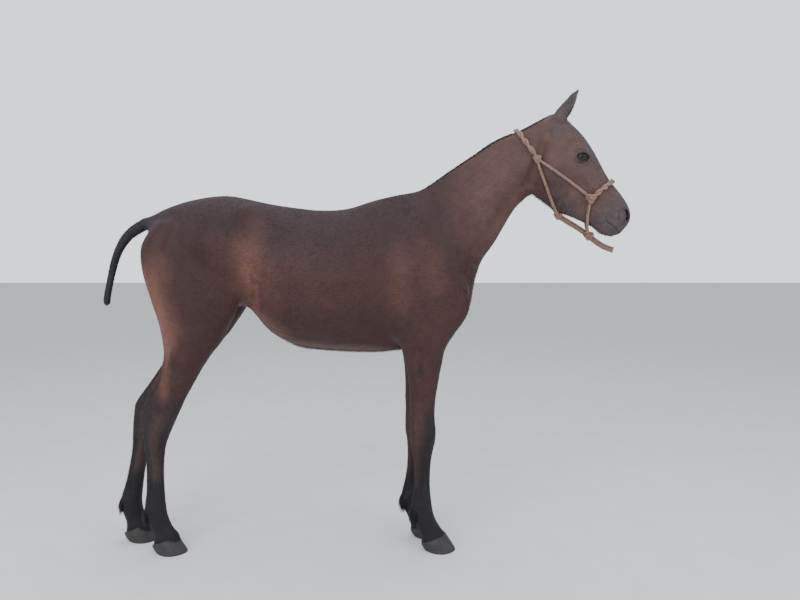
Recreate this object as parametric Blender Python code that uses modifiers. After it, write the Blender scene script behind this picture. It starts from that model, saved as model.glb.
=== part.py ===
"""A young Hispano-Arabian mare standing at rest in a rope halter, at life size.

Metres, +Z up, +X towards the head, the mare's right side at -Y, the floor at z = 0.
The body is lofted between measured stations, fused, and then parted into named pieces.
It is first made with a straight neck, and turned() then bends the neck and head a little
to the right.
"""

import math
import random
from collections import namedtuple

import bmesh
import bpy
from mathutils import Matrix, Vector
from mathutils.bvhtree import BVHTree

# Driving dimensions
GAP = 0.0003
HEAD_TURN = math.radians(-9)
TURN_START = 0.22
TURN_END = 0.60
ROPE_RADIUS = 0.0065
KNOT_RADIUS = 0.0155
NOSE_KNOT_RADIUS = 0.018
KNOT_LIFT = 0.0085  # the middle of a knot over the skin
EYE_CENTRE = Vector((0.724, 0.0745, 1.596))
EYE_RADIUS = 0.021
LID_THICKNESS = 0.004
LID_OPENING = (0.0195, 0.0125, 0.0095)  # half its length, and its reach above and below
HOOF_OUT = 0.070
HIND_HOOF_OUT = 0.062
HIND_HOOF_SHARE = 0.94
MANE = (0.112, 0.562)  # where the mane starts and ends on the straight neck
MANE_STEP = 0.016
MANE_BREAK = 0.026  # the mane leaves this much free on each side of the crown rope
MANE_LENGTH = (0.015, 0.018)
MANE_DEPTH = 0.007
TUFT_DEPTH = 0.007

# Mesh fineness
LOFT_SIDES = 40
VOXEL = 0.0065
BODY_TRIANGLES = 4550
HEAD_TRIANGLES = 2400
ROPE_SIDES = 6
EAR_SIDES = 16
HOOF_SIDES = 20

# A section of the body in an upright plane that runs across it. upper and lower are (x, z).
# high, mid and low are half widths at the top, the middle and the bottom of the section,
# power squares its corners, and y is its distance from the mid plane.
Station = namedtuple("Station", "upper lower high mid low power y", defaults=(2.2, 0.0))

TRUNK = [
    Station((-1.030, 1.362), (-1.022, 1.150), 0.040, 0.055, 0.035),  # under the dock
    Station((-0.990, 1.392), (-0.985, 1.095), 0.080, 0.118, 0.070),
    Station((-0.930, 1.417), (-0.925, 1.060), 0.118, 0.160, 0.100),
    Station((-0.860, 1.438), (-0.860, 1.035), 0.148, 0.190, 0.120),
    Station((-0.780, 1.453), (-0.780, 1.012), 0.160, 0.208, 0.135),  # croup
    Station((-0.700, 1.458), (-0.700, 0.992), 0.160, 0.212, 0.145),
    Station((-0.620, 1.444), (-0.628, 0.996), 0.152, 0.207, 0.145),  # point of hip
    Station((-0.530, 1.425), (-0.535, 0.893), 0.128, 0.208, 0.135),  # flank
    Station((-0.430, 1.410), (-0.430, 0.838), 0.122, 0.222, 0.125),
    Station((-0.330, 1.400), (-0.330, 0.822), 0.120, 0.230, 0.125),  # back
    Station((-0.220, 1.406), (-0.220, 0.815), 0.116, 0.228, 0.120),
    Station((-0.110, 1.440), (-0.110, 0.812), 0.092, 0.213, 0.108),
    Station((-0.020, 1.462), (-0.010, 0.820), 0.072, 0.193, 0.098),  # girth
    Station((0.060, 1.477), (0.120, 0.836), 0.064, 0.176, 0.090),  # withers
    Station((0.110, 1.498), (0.225, 0.892), 0.060, 0.160, 0.100),
    Station((0.155, 1.528), (0.283, 0.985), 0.055, 0.143, 0.112),  # breast
    Station((0.200, 1.560), (0.304, 1.090), 0.050, 0.125, 0.105),
    Station((0.250, 1.593), (0.334, 1.185), 0.045, 0.104, 0.082),
    Station((0.310, 1.634), (0.385, 1.258), 0.038, 0.086, 0.068),  # root of the neck
    Station((0.370, 1.675), (0.429, 1.335), 0.034, 0.073, 0.060),
    Station((0.429, 1.703), (0.464, 1.394), 0.033, 0.066, 0.058),
    Station((0.488, 1.722), (0.503, 1.437), 0.034, 0.062, 0.057),
    Station((0.547, 1.751), (0.547, 1.473), 0.038, 0.061, 0.055),  # throat
    Station((0.600, 1.777), (0.605, 1.556), 0.040, 0.058, 0.050),
]

HEAD = [
    Station((0.613, 1.783), (0.574, 1.725), 0.042, 0.050, 0.040, 2.2),  # poll
    Station((0.648, 1.766), (0.553, 1.617), 0.062, 0.072, 0.052, 2.5),
    Station((0.682, 1.741), (0.538, 1.533), 0.074, 0.082, 0.052, 2.7),
    Station((0.713, 1.711), (0.542, 1.460), 0.082, 0.087, 0.046, 2.9),  # back of the jaw
    Station((0.744, 1.673), (0.571, 1.435), 0.086, 0.089, 0.040, 3.0),  # eyes
    Station((0.777, 1.623), (0.611, 1.403), 0.072, 0.081, 0.036, 2.9),
    Station((0.801, 1.581), (0.653, 1.383), 0.053, 0.069, 0.033, 2.7),
    Station((0.821, 1.544), (0.696, 1.365), 0.043, 0.058, 0.031, 2.6),
    Station((0.845, 1.506), (0.735, 1.347), 0.043, 0.055, 0.030, 2.5),
    Station((0.874, 1.470), (0.773, 1.327), 0.041, 0.050, 0.031, 2.4),  # chin groove
    Station((0.898, 1.436), (0.798, 1.304), 0.043, 0.051, 0.034, 2.4),
    Station((0.915, 1.405), (0.825, 1.292), 0.044, 0.053, 0.034, 2.4),  # nostrils
    Station((0.923, 1.373), (0.855, 1.289), 0.037, 0.045, 0.031, 2.4),
    Station((0.920, 1.348), (0.881, 1.296), 0.026, 0.033, 0.024, 2.2),  # lips
]

TAIL = [
    Station((-0.945, 1.404), (-0.965, 1.335), 0.020, 0.030, 0.022, 2.0),
    Station((-1.000, 1.389), (-1.015, 1.326), 0.022, 0.030, 0.022, 2.0),
    Station((-1.042, 1.372), (-1.050, 1.311), 0.022, 0.029, 0.022, 2.0),
    Station((-1.078, 1.353), (-1.075, 1.300), 0.021, 0.027, 0.021, 2.0),
    Station((-1.117, 1.327), (-1.104, 1.281), 0.019, 0.024, 0.019, 2.0),
    Station((-1.150, 1.291), (-1.130, 1.252), 0.018, 0.022, 0.018, 2.0),
    Station((-1.176, 1.245), (-1.150, 1.220), 0.016, 0.020, 0.016, 2.0),
    Station((-1.198, 1.185), (-1.168, 1.172), 0.014, 0.018, 0.014, 2.0),
    Station((-1.214, 1.115), (-1.184, 1.115), 0.013, 0.016, 0.013, 2.0),
    Station((-1.228, 1.050), (-1.199, 1.050), 0.012, 0.015, 0.012, 2.0),
    Station((-1.231, 1.018), (-1.204, 1.015), 0.011, 0.014, 0.011, 2.0),
    Station((-1.228, 1.006), (-1.209, 1.004), 0.007, 0.009, 0.007, 2.0),  # clipped tip
]

# A level of a leg: its height, its front and back edges, how far out its middle lies,
# half its width, and the share of that width at the front and the back edge.
Level = namedtuple("Level", "z front back out half fore aft", defaults=(0.85, 0.80))

FORELEG = [
    Level(1.260, 0.165, 0.015, 0.095, 0.062),
    Level(1.160, 0.235, -0.035, 0.108, 0.068),  # shoulder
    Level(1.060, 0.276, -0.058, 0.114, 0.072),
    Level(0.980, 0.272, -0.060, 0.113, 0.074),  # point of shoulder
    Level(0.910, 0.226, -0.040, 0.108, 0.070),
    Level(0.850, 0.188, -0.008, 0.101, 0.061, 0.80, 0.70),  # elbow
    Level(0.790, 0.171, 0.014, 0.096, 0.054, 0.80, 0.70),
    Level(0.706, 0.155, 0.030, 0.090, 0.047),  # forearm
    Level(0.623, 0.142, 0.037, 0.085, 0.040),
    Level(0.560, 0.139, 0.041, 0.082, 0.037),
    Level(0.505, 0.144, 0.039, 0.080, 0.042, 1.00, 0.85),  # knee
    Level(0.460, 0.142, 0.040, 0.079, 0.043, 1.00, 0.85),
    Level(0.418, 0.133, 0.046, 0.078, 0.034, 0.95, 0.75),
    Level(0.370, 0.125, 0.053, 0.077, 0.0255, 0.95, 0.70),
    Level(0.300, 0.121, 0.056, 0.075, 0.0235, 0.95, 0.70),  # cannon
    Level(0.245, 0.123, 0.052, 0.074, 0.0255, 0.95, 0.75),
    Level(0.200, 0.128, 0.045, 0.073, 0.0320, 0.95, 0.80),
    Level(0.160, 0.134, 0.042, 0.072, 0.0345, 0.95, 0.85),  # fetlock
    Level(0.128, 0.145, 0.051, 0.071, 0.0310, 0.95, 0.80),
    Level(0.100, 0.161, 0.065, 0.071, 0.0285, 0.95, 0.80),  # pastern
    Level(0.072, 0.180, 0.079, 0.070, 0.0320, 0.95, 0.85),
    Level(0.045, 0.196, 0.086, 0.070, 0.0390, 0.90, 0.85),
    Level(0.020, 0.205, 0.091, 0.070, 0.0400, 0.90, 0.85),
]

HINDLEG = [
    Level(1.345, -0.740, -0.972, 0.092, 0.072),
    Level(1.290, -0.715, -1.010, 0.100, 0.082),
    Level(1.235, -0.682, -1.030, 0.108, 0.091),
    Level(1.150, -0.655, -1.023, 0.114, 0.096),  # buttock
    Level(1.070, -0.645, -1.000, 0.117, 0.096),
    Level(1.000, -0.645, -0.979, 0.116, 0.094),
    Level(0.930, -0.680, -0.959, 0.112, 0.087),
    Level(0.870, -0.711, -0.950, 0.106, 0.078),  # stifle
    Level(0.820, -0.752, -0.949, 0.100, 0.069),
    Level(0.760, -0.794, -0.963, 0.093, 0.058, 0.85, 0.60),  # gaskin
    Level(0.700, -0.829, -0.989, 0.087, 0.050, 0.85, 0.45),
    Level(0.640, -0.864, -1.024, 0.082, 0.044, 0.90, 0.40),
    Level(0.585, -0.891, -1.051, 0.078, 0.042, 0.95, 0.50),  # point of hock
    Level(0.540, -0.912, -1.050, 0.075, 0.043, 0.95, 0.60),
    Level(0.490, -0.935, -1.047, 0.073, 0.043, 0.95, 0.65),
    Level(0.440, -0.953, -1.042, 0.071, 0.036, 0.95, 0.70),
    Level(0.390, -0.960, -1.036, 0.069, 0.0285, 0.95, 0.70),
    Level(0.320, -0.964, -1.034, 0.067, 0.0255, 0.95, 0.70),  # cannon
    Level(0.250, -0.962, -1.037, 0.065, 0.0270, 0.95, 0.75),
    Level(0.205, -0.960, -1.043, 0.064, 0.0325, 0.95, 0.80),
    Level(0.165, -0.956, -1.045, 0.063, 0.0350, 0.95, 0.85),  # fetlock
    Level(0.130, -0.946, -1.037, 0.062, 0.0320, 0.95, 0.80),
    Level(0.102, -0.932, -1.025, 0.062, 0.0290, 0.95, 0.80),  # pastern
    Level(0.074, -0.912, -1.012, 0.062, 0.0320, 0.95, 0.85),
    Level(0.045, -0.899, -1.009, 0.062, 0.0385, 0.90, 0.85),
    Level(0.020, -0.892, -1.007, 0.062, 0.0390, 0.90, 0.85),
]

# How far the left legs stand behind the right ones, as (height, distance) from top to bottom.
FORE_STRIDE = [(0.90, 0.0), (0.60, -0.020), (0.42, -0.019), (0.30, -0.030), (0.16, -0.042), (0.0, -0.042)]
HIND_STRIDE = [(1.10, 0.0), (0.93, -0.024), (0.84, -0.040), (0.76, -0.056), (0.70, -0.069),
               (0.60, -0.080), (0.55, -0.088), (0.43, -0.103), (0.30, -0.128), (0.16, -0.152),
               (0.05, -0.163), (0.0, -0.165)]

# Both hind feet stand a little to the right of the middle, as (height, distance).
HIND_SWAY = [(1.00, 0.0), (0.55, -0.019), (0.0, -0.031)]


def along(table, height):
    """The distance at this height, read from rows of (height, distance) from top to bottom."""
    if height >= table[0][0]:
        return table[0][1]
    for (top, at_top), (bottom, at_bottom) in zip(table, table[1:]):
        if height >= bottom:
            share = (top - height) / (top - bottom)
            return at_top + (at_bottom - at_top) * share
    return table[-1][1]


def leg_stations(levels, side, stride, sway):
    """The sections of one leg. side is -1 on the right and 1 on the left."""
    made = []
    for level in levels:
        back_by = along(stride, level.z) if side > 0 else 0.0
        out = side * level.out + along(sway, level.z)
        made.append(Station(
            (level.front + back_by, level.z), (level.back + back_by, level.z),
            level.half * level.fore, level.half, level.half * level.aft, 2.3, out))
    return made


def spline(before, start, end, after, share):
    """A point of the smooth curve through start and end, for numbers or tuples of numbers."""
    if isinstance(start, tuple):
        return tuple(spline(*four, share) for four in zip(before, start, end, after))
    return 0.5 * (2 * start + (end - before) * share
                  + (2 * before - 5 * start + 4 * end - after) * share ** 2
                  + (3 * start - before - 3 * end + after) * share ** 3)


def half_width(station, share):
    """The section's half width at a share of its height, from 0 at the bottom to 1 at the top."""
    return (station.low * (1 - share) * (1 - 2 * share)
            + station.mid * 4 * share * (1 - share)
            + station.high * share * (2 * share - 1))


def section(station, sides):
    """The points round one section."""
    lower, upper = Vector(station.lower), Vector(station.upper)
    points = []
    for side in range(sides):
        angle = 2 * math.pi * side / sides
        across, up = math.cos(angle), math.sin(angle)
        share = 0.5 + 0.5 * math.copysign(abs(up) ** (2 / station.power), up)
        width = half_width(station, share) * math.copysign(abs(across) ** (2 / station.power), across)
        place = lower.lerp(upper, share)
        points.append(Vector((place.x, station.y + width, place.y)))
    return points


def loft(name, stations, sides=LOFT_SIDES, steps=4):
    """A closed mesh object through the stations, smooth between them and closed at both ends."""
    padded = [stations[0], *stations, stations[-1]]
    sections = []
    for before, start, end, after in zip(padded, padded[1:], padded[2:], padded[3:]):
        sections += [section(Station(*spline(before, start, end, after, step / steps)), sides)
                     for step in range(steps)]
    sections.append(section(stations[-1], sides))
    mesh = bmesh.new()
    rings = [[mesh.verts.new(point) for point in points] for points in sections]
    for ring, following in zip(rings, rings[1:]):
        for i in range(sides):
            j = (i + 1) % sides
            mesh.faces.new((ring[i], ring[j], following[j], following[i]))
    for ring in (rings[0], rings[-1]):
        mesh.faces.new(ring)
    bmesh.ops.recalc_face_normals(mesh, faces=mesh.faces)
    return new_object(name, mesh)


def new_object(name, mesh):
    """An object with this bmesh, which it frees."""
    data = bpy.data.meshes.new(name)
    mesh.to_mesh(data)
    mesh.free()
    obj = bpy.data.objects.new(name, data)
    bpy.context.scene.collection.objects.link(obj)
    return obj


def remove(*objects):
    for obj in objects:
        bpy.data.objects.remove(obj)


def apply_modifiers(obj):
    graph = bpy.context.evaluated_depsgraph_get()
    mesh = bpy.data.meshes.new_from_object(obj.evaluated_get(graph))
    obj.modifiers.clear()
    obj.data = mesh
    return obj


def copy_of(obj, name):
    made = bpy.data.objects.new(name, obj.data.copy())
    bpy.context.scene.collection.objects.link(made)
    return made


def boolean(obj, other, operation):
    """Joins or cuts, and applies it. MANIFOLD, as EXACT loses ropes where three of them meet."""
    modifier = obj.modifiers.new(operation.title(), "BOOLEAN")
    modifier.operation = operation
    modifier.solver = "MANIFOLD"
    modifier.object = other
    return apply_modifiers(obj)


def spread(vertices):
    """The length of the diagonal of the box round the vertices."""
    places = [vertex.co for vertex in vertices]
    return math.hypot(*(max(p[i] for p in places) - min(p[i] for p in places) for i in range(3)))


def shells_of(mesh):
    """The sets of vertices that hang together, from the smallest body to the largest."""
    left, shells = set(mesh.verts), []
    while left:
        found, waiting = set(), [left.pop()]
        while waiting:
            vertex = waiting.pop()
            found.add(vertex)
            for edge in vertex.link_edges:
                other = edge.other_vert(vertex)
                if other in left:
                    left.remove(other)
                    waiting.append(other)
        shells.append(found)
    return sorted(shells, key=spread)


def keep_largest(obj):
    """Drops the small scraps that a cut can leave, so that the piece stays one closed body."""
    mesh = bmesh.new()
    mesh.from_mesh(obj.data)
    for shell in shells_of(mesh)[:-1]:
        bmesh.ops.delete(mesh, geom=list(shell), context="VERTS")
    mesh.to_mesh(obj.data)
    mesh.free()
    return obj


def fuse(obj, pieces):
    """Joins the pieces to the object in one Boolean union."""
    collection = bpy.data.collections.new(obj.name + "_pieces")
    bpy.context.scene.collection.children.link(collection)
    for piece in pieces:
        collection.objects.link(piece)
    modifier = obj.modifiers.new("Union", "BOOLEAN")
    modifier.operation = "UNION"
    modifier.operand_type = "COLLECTION"
    modifier.collection = collection
    apply_modifiers(obj)
    remove(*pieces)
    bpy.data.collections.remove(collection)
    return keep_largest(obj)


def grown(obj, by):
    """A copy of the object that is larger by this much all round."""
    made = copy_of(obj, obj.name + "_grown")
    normals = [vertex.normal.copy() for vertex in made.data.vertices]
    for vertex, normal in zip(made.data.vertices, normals):
        vertex.co += normal * by
    return made


def triangulated(obj):
    mesh = bmesh.new()
    mesh.from_mesh(obj.data)
    bmesh.ops.triangulate(mesh, faces=mesh.faces)
    mesh.to_mesh(obj.data)
    mesh.free()
    return obj


def trim(obj, neighbour):
    """Cuts the object clear of its neighbour, so that they meet face to face."""
    cutter = grown(triangulated(neighbour), GAP)
    boolean(obj, cutter, "DIFFERENCE")
    remove(cutter)
    return keep_largest(obj)


def lump(name, centre, radii, lean=0.0, fineness=4):
    """An ellipsoid. lean turns it about the y axis, in degrees."""
    mesh = bmesh.new()
    bmesh.ops.create_icosphere(mesh, subdivisions=fineness, radius=1)
    bmesh.ops.scale(mesh, verts=mesh.verts, vec=radii)
    bmesh.ops.rotate(mesh, verts=mesh.verts, matrix=Matrix.Rotation(math.radians(lean), 3, "Y"))
    bmesh.ops.translate(mesh, verts=mesh.verts, vec=centre)
    return new_object(name, mesh)


def sweep(name, centres, radii, sides, across=Vector((0, 1, 0))):
    """A closed tube along the centres. radii holds, for each, its radius along and over across."""
    mesh = bmesh.new()
    rings = []
    for i, (centre, (wide, thick)) in enumerate(zip(centres, radii)):
        ahead = (centres[min(i + 1, len(centres) - 1)] - centres[max(i - 1, 0)]).normalized()
        first = across[i] if isinstance(across, list) else across
        first = (first - ahead * first.dot(ahead)).normalized()
        second = ahead.cross(first)
        ring = []
        for side in range(sides):
            angle = 2 * math.pi * (side + 0.5) / sides
            ring.append(mesh.verts.new(
                centre + first * wide * math.cos(angle) + second * thick * math.sin(angle)))
        rings.append(ring)
    for ring, following in zip(rings, rings[1:]):
        for i in range(sides):
            j = (i + 1) % sides
            mesh.faces.new((ring[i], ring[j], following[j], following[i]))
    for ring in (rings[0], rings[-1]):
        mesh.faces.new(ring)
    bmesh.ops.recalc_face_normals(mesh, faces=mesh.faces)
    return new_object(name, mesh)


# Hollows (negative) and swellings (positive) of the surface, as (points, reach, depth), where
# the points are (x, z) seen from the side. Both sides of the body get them.
RELIEF = [
    ([(0.095, 1.440), (0.170, 1.290), (0.262, 1.090)], 0.055, -0.007),  # before the shoulder blade
    ([(0.045, 1.400), (0.120, 1.240), (0.205, 1.090)], 0.050, 0.005),  # shoulder blade
    ([(-0.030, 1.390), (-0.045, 1.200), (-0.055, 1.000)], 0.060, -0.010),  # behind the shoulder
    ([(0.050, 1.180), (0.020, 1.060), (0.000, 0.970)], 0.075, 0.010),  # upper arm
    ([(-0.008, 0.895)], 0.035, 0.006),  # elbow
    ([(0.262, 1.040)], 0.060, 0.007),  # point of shoulder
    ([(0.505, 1.510), (0.400, 1.380), (0.290, 1.190)], 0.036, -0.007),  # jugular groove
    ([(0.500, 1.640), (0.340, 1.520), (0.190, 1.390)], 0.055, -0.004),  # along the neck
    ([(0.490, 1.575), (0.350, 1.430)], 0.050, 0.004),
    ([(-0.580, 1.310), (-0.590, 1.240), (-0.600, 1.150)], 0.085, -0.015),  # flank
    ([(-0.622, 1.375)], 0.060, 0.013),  # point of hip
    ([(-0.350, 1.200), (-0.300, 1.000)], 0.150, 0.006),  # barrel
    ([(-0.905, 1.350), (-0.955, 1.180), (-0.940, 0.960)], 0.036, -0.006),  # hamstring
    ([(-0.780, 1.330), (-0.815, 1.130), (-0.800, 0.950)], 0.050, -0.006),
    ([(-0.700, 0.960)], 0.060, 0.006),  # stifle
    ([(-0.920, 0.850), (-0.955, 0.760), (-1.002, 0.655)], 0.026, -0.009),  # before the tendon
    ([(-0.855, 0.790), (-0.908, 0.690)], 0.035, 0.004),  # gaskin
    ([(-0.975, 0.540), (-0.990, 0.490)], 0.035, 0.005),  # hock
    ([(-1.008, 0.430), (-1.010, 0.330), (-1.009, 0.220)], 0.012, -0.005),
    ([(0.078, 0.430), (0.083, 0.320), (0.080, 0.210)], 0.012, -0.005),  # before the tendons
    ([(0.120, 0.830), (0.105, 0.680)], 0.035, 0.004),  # forearm
    ([(0.075, 0.830), (0.082, 0.680), (0.085, 0.570)], 0.022, -0.005),
    ([(0.052, 0.515)], 0.024, 0.006),  # back of the knee
    ([(0.105, 0.480)], 0.030, 0.003),
    ([(0.060, 0.170)], 0.022, 0.004),
    ([(-1.028, 0.175)], 0.022, 0.004),
    ([(0.610, 1.535)], 0.085, 0.007),  # cheek
    ([(0.590, 1.690), (0.552, 1.600), (0.520, 1.500)], 0.026, -0.009),  # behind the jaw
    ([(0.728, 1.535), (0.760, 1.490), (0.792, 1.455)], 0.022, 0.006),  # cheek bone
    ([(0.698, 1.622), (0.722, 1.636), (0.750, 1.622)], 0.016, 0.004),  # brow
    ([(0.700, 1.500), (0.672, 1.440)], 0.026, -0.005),
    ([(0.800, 1.545), (0.822, 1.510), (0.850, 1.455)], 0.028, -0.008),  # beside the nose bone
    ([(0.690, 1.648)], 0.030, -0.009),  # above the eye
    ([(0.770, 1.420), (0.730, 1.400)], 0.030, -0.004),  # bars of the jaw
    ([(0.886, 1.396), (0.876, 1.366), (0.884, 1.342)], 0.018, 0.007),  # nostril
    ([(0.812, 1.316)], 0.030, 0.005),  # chin
    ([(0.800, 1.362), (0.830, 1.380)], 0.030, 0.003),  # upper lip
]

NOSTRIL = ((0.899, 0.041, 1.364), (0.0085, 0.020, 0.0215), 14)
MOUTH = [(0.823, 1.349), (0.838, 1.337), (0.853, 1.325), (0.867, 1.312), (0.877, 1.301)]
MOUTH_FRONT = (0.888, 1.297)

EAR = [  # the middle of the ear, its reach across and fore and aft
    ((0.632, 0.047, 1.742), 0.022, 0.020),
    ((0.645, 0.049, 1.762), 0.026, 0.022),
    ((0.665, 0.051, 1.786), 0.027, 0.0235),
    ((0.683, 0.050, 1.812), 0.024, 0.0215),
    ((0.693, 0.046, 1.834), 0.016, 0.0165),
    ((0.702, 0.042, 1.851), 0.007, 0.0075),
    ((0.707, 0.041, 1.859), 0.002, 0.0025),
]

HOOF = [  # front and back edge of a hoof, and half its width, from the coronet down
    ((0.186, 0.068), (0.081, 0.026), 0.0425),
    ((0.194, 0.055), (0.084, 0.020), 0.0465),
    ((0.208, 0.034), (0.089, 0.013), 0.0500),
    ((0.2225, 0.010), (0.095, 0.005), 0.0535),
    ((0.2255, 0.003), (0.0975, 0.0025), 0.0545),
    ((0.2240, 0.000), (0.0990, 0.000), 0.0530),
]
HIND_HOOF_OFFSET = -1.100

# Where the parts of the body meet, as the upper and lower end of a straight cut seen from the
# side, with the y range of the cut.
CUTS = [
    ((0.600, 1.840), (0.508, 1.400), 0.40),  # head and neck
    ((-0.030, 1.640), (0.385, 1.060), 0.60),  # neck and torso
    ((-1.030, 1.420), (-1.068, 1.270), 0.10),  # tail
    ((0.330, 0.798), (-0.120, 0.798), 0.70),  # forelegs
    ((-0.632, 0.932), (-1.200, 0.932), 0.70),  # hind legs
]


BODY_NODES = ("head", "neck", "torso", "tail", "foreleg_right", "foreleg_left",
              "hindleg_right", "hindleg_left")


def sideways(points, x, z):
    """The distance from (x, z) to the line through the points."""
    if len(points) == 1:
        return math.hypot(x - points[0][0], z - points[0][1])
    nearest = 1e9
    for (ax, az), (bx, bz) in zip(points, points[1:]):
        dx, dz = bx - ax, bz - az
        share = max(0.0, min(1.0, ((x - ax) * dx + (z - az) * dz) / (dx * dx + dz * dz)))
        nearest = min(nearest, math.hypot(x - ax - dx * share, z - az - dz * share))
    return nearest


def unshifted(x, y, z):
    """x of a place on a left leg, as if the leg stood where the right one stands."""
    if y <= 0:
        return x
    if x < -0.4:
        return x - along(HIND_STRIDE, z)
    return x - along(FORE_STRIDE, z)


def carve(obj):
    """Moves the surface in and out as RELIEF says, but leaves the outline seen from the side."""
    normals = [vertex.normal.copy() for vertex in obj.data.vertices]
    for vertex, normal in zip(obj.data.vertices, normals):
        place = vertex.co.copy()
        x = unshifted(place.x, place.y, place.z)
        facing = min(1.0, abs(normal.y) * 1.4)
        if facing < 0.15:
            continue
        for points, reach, depth in RELIEF:
            if abs(x - points[0][0]) > 0.4 or abs(place.z - points[0][1]) > 0.6:
                continue
            away = sideways(points, x, place.z) / reach
            if away < 1:
                vertex.co += normal * depth * facing * (1 - away * away) ** 2


def soften(obj, rounds):
    """Smooths the surface: much on the trunk, and little on the head and the lower legs."""
    vertices = obj.data.vertices
    around = [[] for _ in vertices]
    for edge in obj.data.edges:
        first, second = edge.vertices
        around[first].append(second)
        around[second].append(first)
    places = [vertex.co.copy() for vertex in vertices]
    share = []
    for place in places:
        if place.x > 0.60 or place.z < 0.62:
            share.append(0.06)
        elif place.x > 0.45 or place.z < 0.80:
            share.append(0.20)
        else:
            share.append(0.50)
    for _ in range(rounds):
        means = [sum((places[j] for j in near), Vector()) / len(near) for near in around]
        places = [place.lerp(mean, part) for place, mean, part in zip(places, means, share)]
    for vertex, place in zip(vertices, places):
        vertex.co = place


def thin_out(obj, wanted, count):
    """Reduces the triangles whose middle is wanted to this many, and leaves the others."""
    mesh = obj.data
    flags = [wanted(polygon.center) for polygon in mesh.polygons]
    mesh.vertices.foreach_set("select", [False] * len(mesh.vertices))
    mesh.edges.foreach_set("select", [False] * len(mesh.edges))
    mesh.polygons.foreach_set("select", flags)
    bpy.context.view_layer.objects.active = obj
    bpy.ops.object.mode_set(mode="EDIT")
    bpy.ops.mesh.select_mode(type="FACE")
    bpy.ops.mesh.decimate(ratio=count / sum(flags))
    bpy.ops.object.mode_set(mode="OBJECT")


def whole_body():
    """The mare's body in one closed mesh, with a straight neck."""
    pieces = [loft("trunk", TRUNK), loft("skull", HEAD), loft("dock", TAIL)]
    for side in (-1, 1):
        pieces.append(loft("fore", leg_stations(FORELEG, side, FORE_STRIDE, [(0.0, 0.0)])))
        pieces.append(loft("hind", leg_stations(HINDLEG, side, HIND_STRIDE, HIND_SWAY)))
        eye = EYE_CENTRE
        pieces.append(lump("orbit", (eye.x - 0.003, side * (eye.y - 0.014), eye.z + 0.006),
                           (0.050, 0.034, 0.038), 35))
        pieces.append(lump("muzzle", (0.880, side * 0.030, 1.372), (0.030, 0.028, 0.036), 20))
    body = joined("body", pieces)
    remesh = body.modifiers.new("Remesh", "REMESH")
    remesh.mode = "VOXEL"
    remesh.voxel_size = VOXEL
    apply_modifiers(body)
    soften(body, 24)
    carve(body)
    soften(body, 2)
    return body


def joined(name, pieces):
    """One mesh object with the faces of all the pieces, which may cross each other."""
    mesh = bmesh.new()
    for piece in pieces:
        mesh.from_mesh(piece.data)
    obj = new_object(name, mesh)
    remove(*pieces)
    return obj


def surface_of(obj):
    return BVHTree.FromPolygons([vertex.co for vertex in obj.data.vertices],
                                [polygon.vertices for polygon in obj.data.polygons])


def carve_eyes(head):
    """Adds the lids, and cuts the sockets and the opening between the lids."""
    for side in (-1, 1):
        centre = Vector((EYE_CENTRE.x, side * EYE_CENTRE.y, EYE_CENTRE.z))
        lids = lump("lids", centre, (EYE_RADIUS + LID_THICKNESS,) * 3, 0, 3)
        fuse(head, [lids])
        outline = []
        half_length, above, below = LID_OPENING
        for step in range(20):
            angle = 2 * math.pi * step / 20
            along_lid, up = math.cos(angle), math.sin(angle)
            open_by = above if up > 0 else below
            point = Vector((half_length * along_lid, 0,
                            open_by * math.copysign(abs(up) ** 1.25, up)))
            outline.append(Matrix.Rotation(math.radians(10), 3, "Y") @ point)
        facing = Matrix.Rotation(math.radians(-20 * side), 3, "Z")
        mesh = bmesh.new()
        inner = [mesh.verts.new(centre + facing @ point) for point in outline]
        outer = [mesh.verts.new(centre + facing @ (point * 1.25 + Vector((0, side * 0.04, 0))))
                 for point in outline]
        mesh.faces.new(inner)
        mesh.faces.new(outer)
        for i in range(20):
            j = (i + 1) % 20
            mesh.faces.new((inner[i], inner[j], outer[j], outer[i]))
        bmesh.ops.recalc_face_normals(mesh, faces=mesh.faces)
        opening = new_object("opening", mesh)
        socket = lump("socket", centre, (EYE_RADIUS + GAP,) * 3, 0, 3)
        for cutter in (opening, socket):
            boolean(head, cutter, "DIFFERENCE")
        remove(opening, socket)


def carve_muzzle(head):
    """Cuts the nostrils and the line of the mouth."""
    surface = surface_of(head)
    line = []
    for x, z in MOUTH:
        hit = surface.ray_cast(Vector((x, 0.3, z)), Vector((0, -1, 0)))[0]
        line.append(hit)
    front = surface.ray_cast(Vector((MOUTH_FRONT[0] + 0.05, 0, MOUTH_FRONT[1] - 0.03)),
                             Vector((-0.05, 0, 0.03)).normalized())[0]
    half_way = line[-1].lerp(front, 0.55) + Vector((0.004, 0.004, -0.002))
    right = [Vector((p.x, -p.y, p.z)) for p in line + [half_way]]
    path = right + [front] + [half_way] + line[::-1]
    radii = [(0.0015, 0.0015)] + [(0.0026, 0.0026)] * (len(path) - 2) + [(0.0015, 0.0015)]
    groove = sweep("groove", path, radii, 6, Vector((0.6, 0, 0.8)))
    boolean(head, groove, "DIFFERENCE")
    remove(groove)
    for side in (-1, 1):
        (x, y, z), (rx, ry, rz), lean = NOSTRIL
        nostril = lump("nostril", (x, side * y, z), (rx, ry, rz), lean, 2)
        upper = lump("upper", (x - 0.009, side * (y - 0.003), z + 0.019), (0.006, 0.016, 0.013), -50, 2)
        for cutter in (nostril, upper):
            boolean(head, cutter, "DIFFERENCE")
            remove(cutter)


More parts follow.
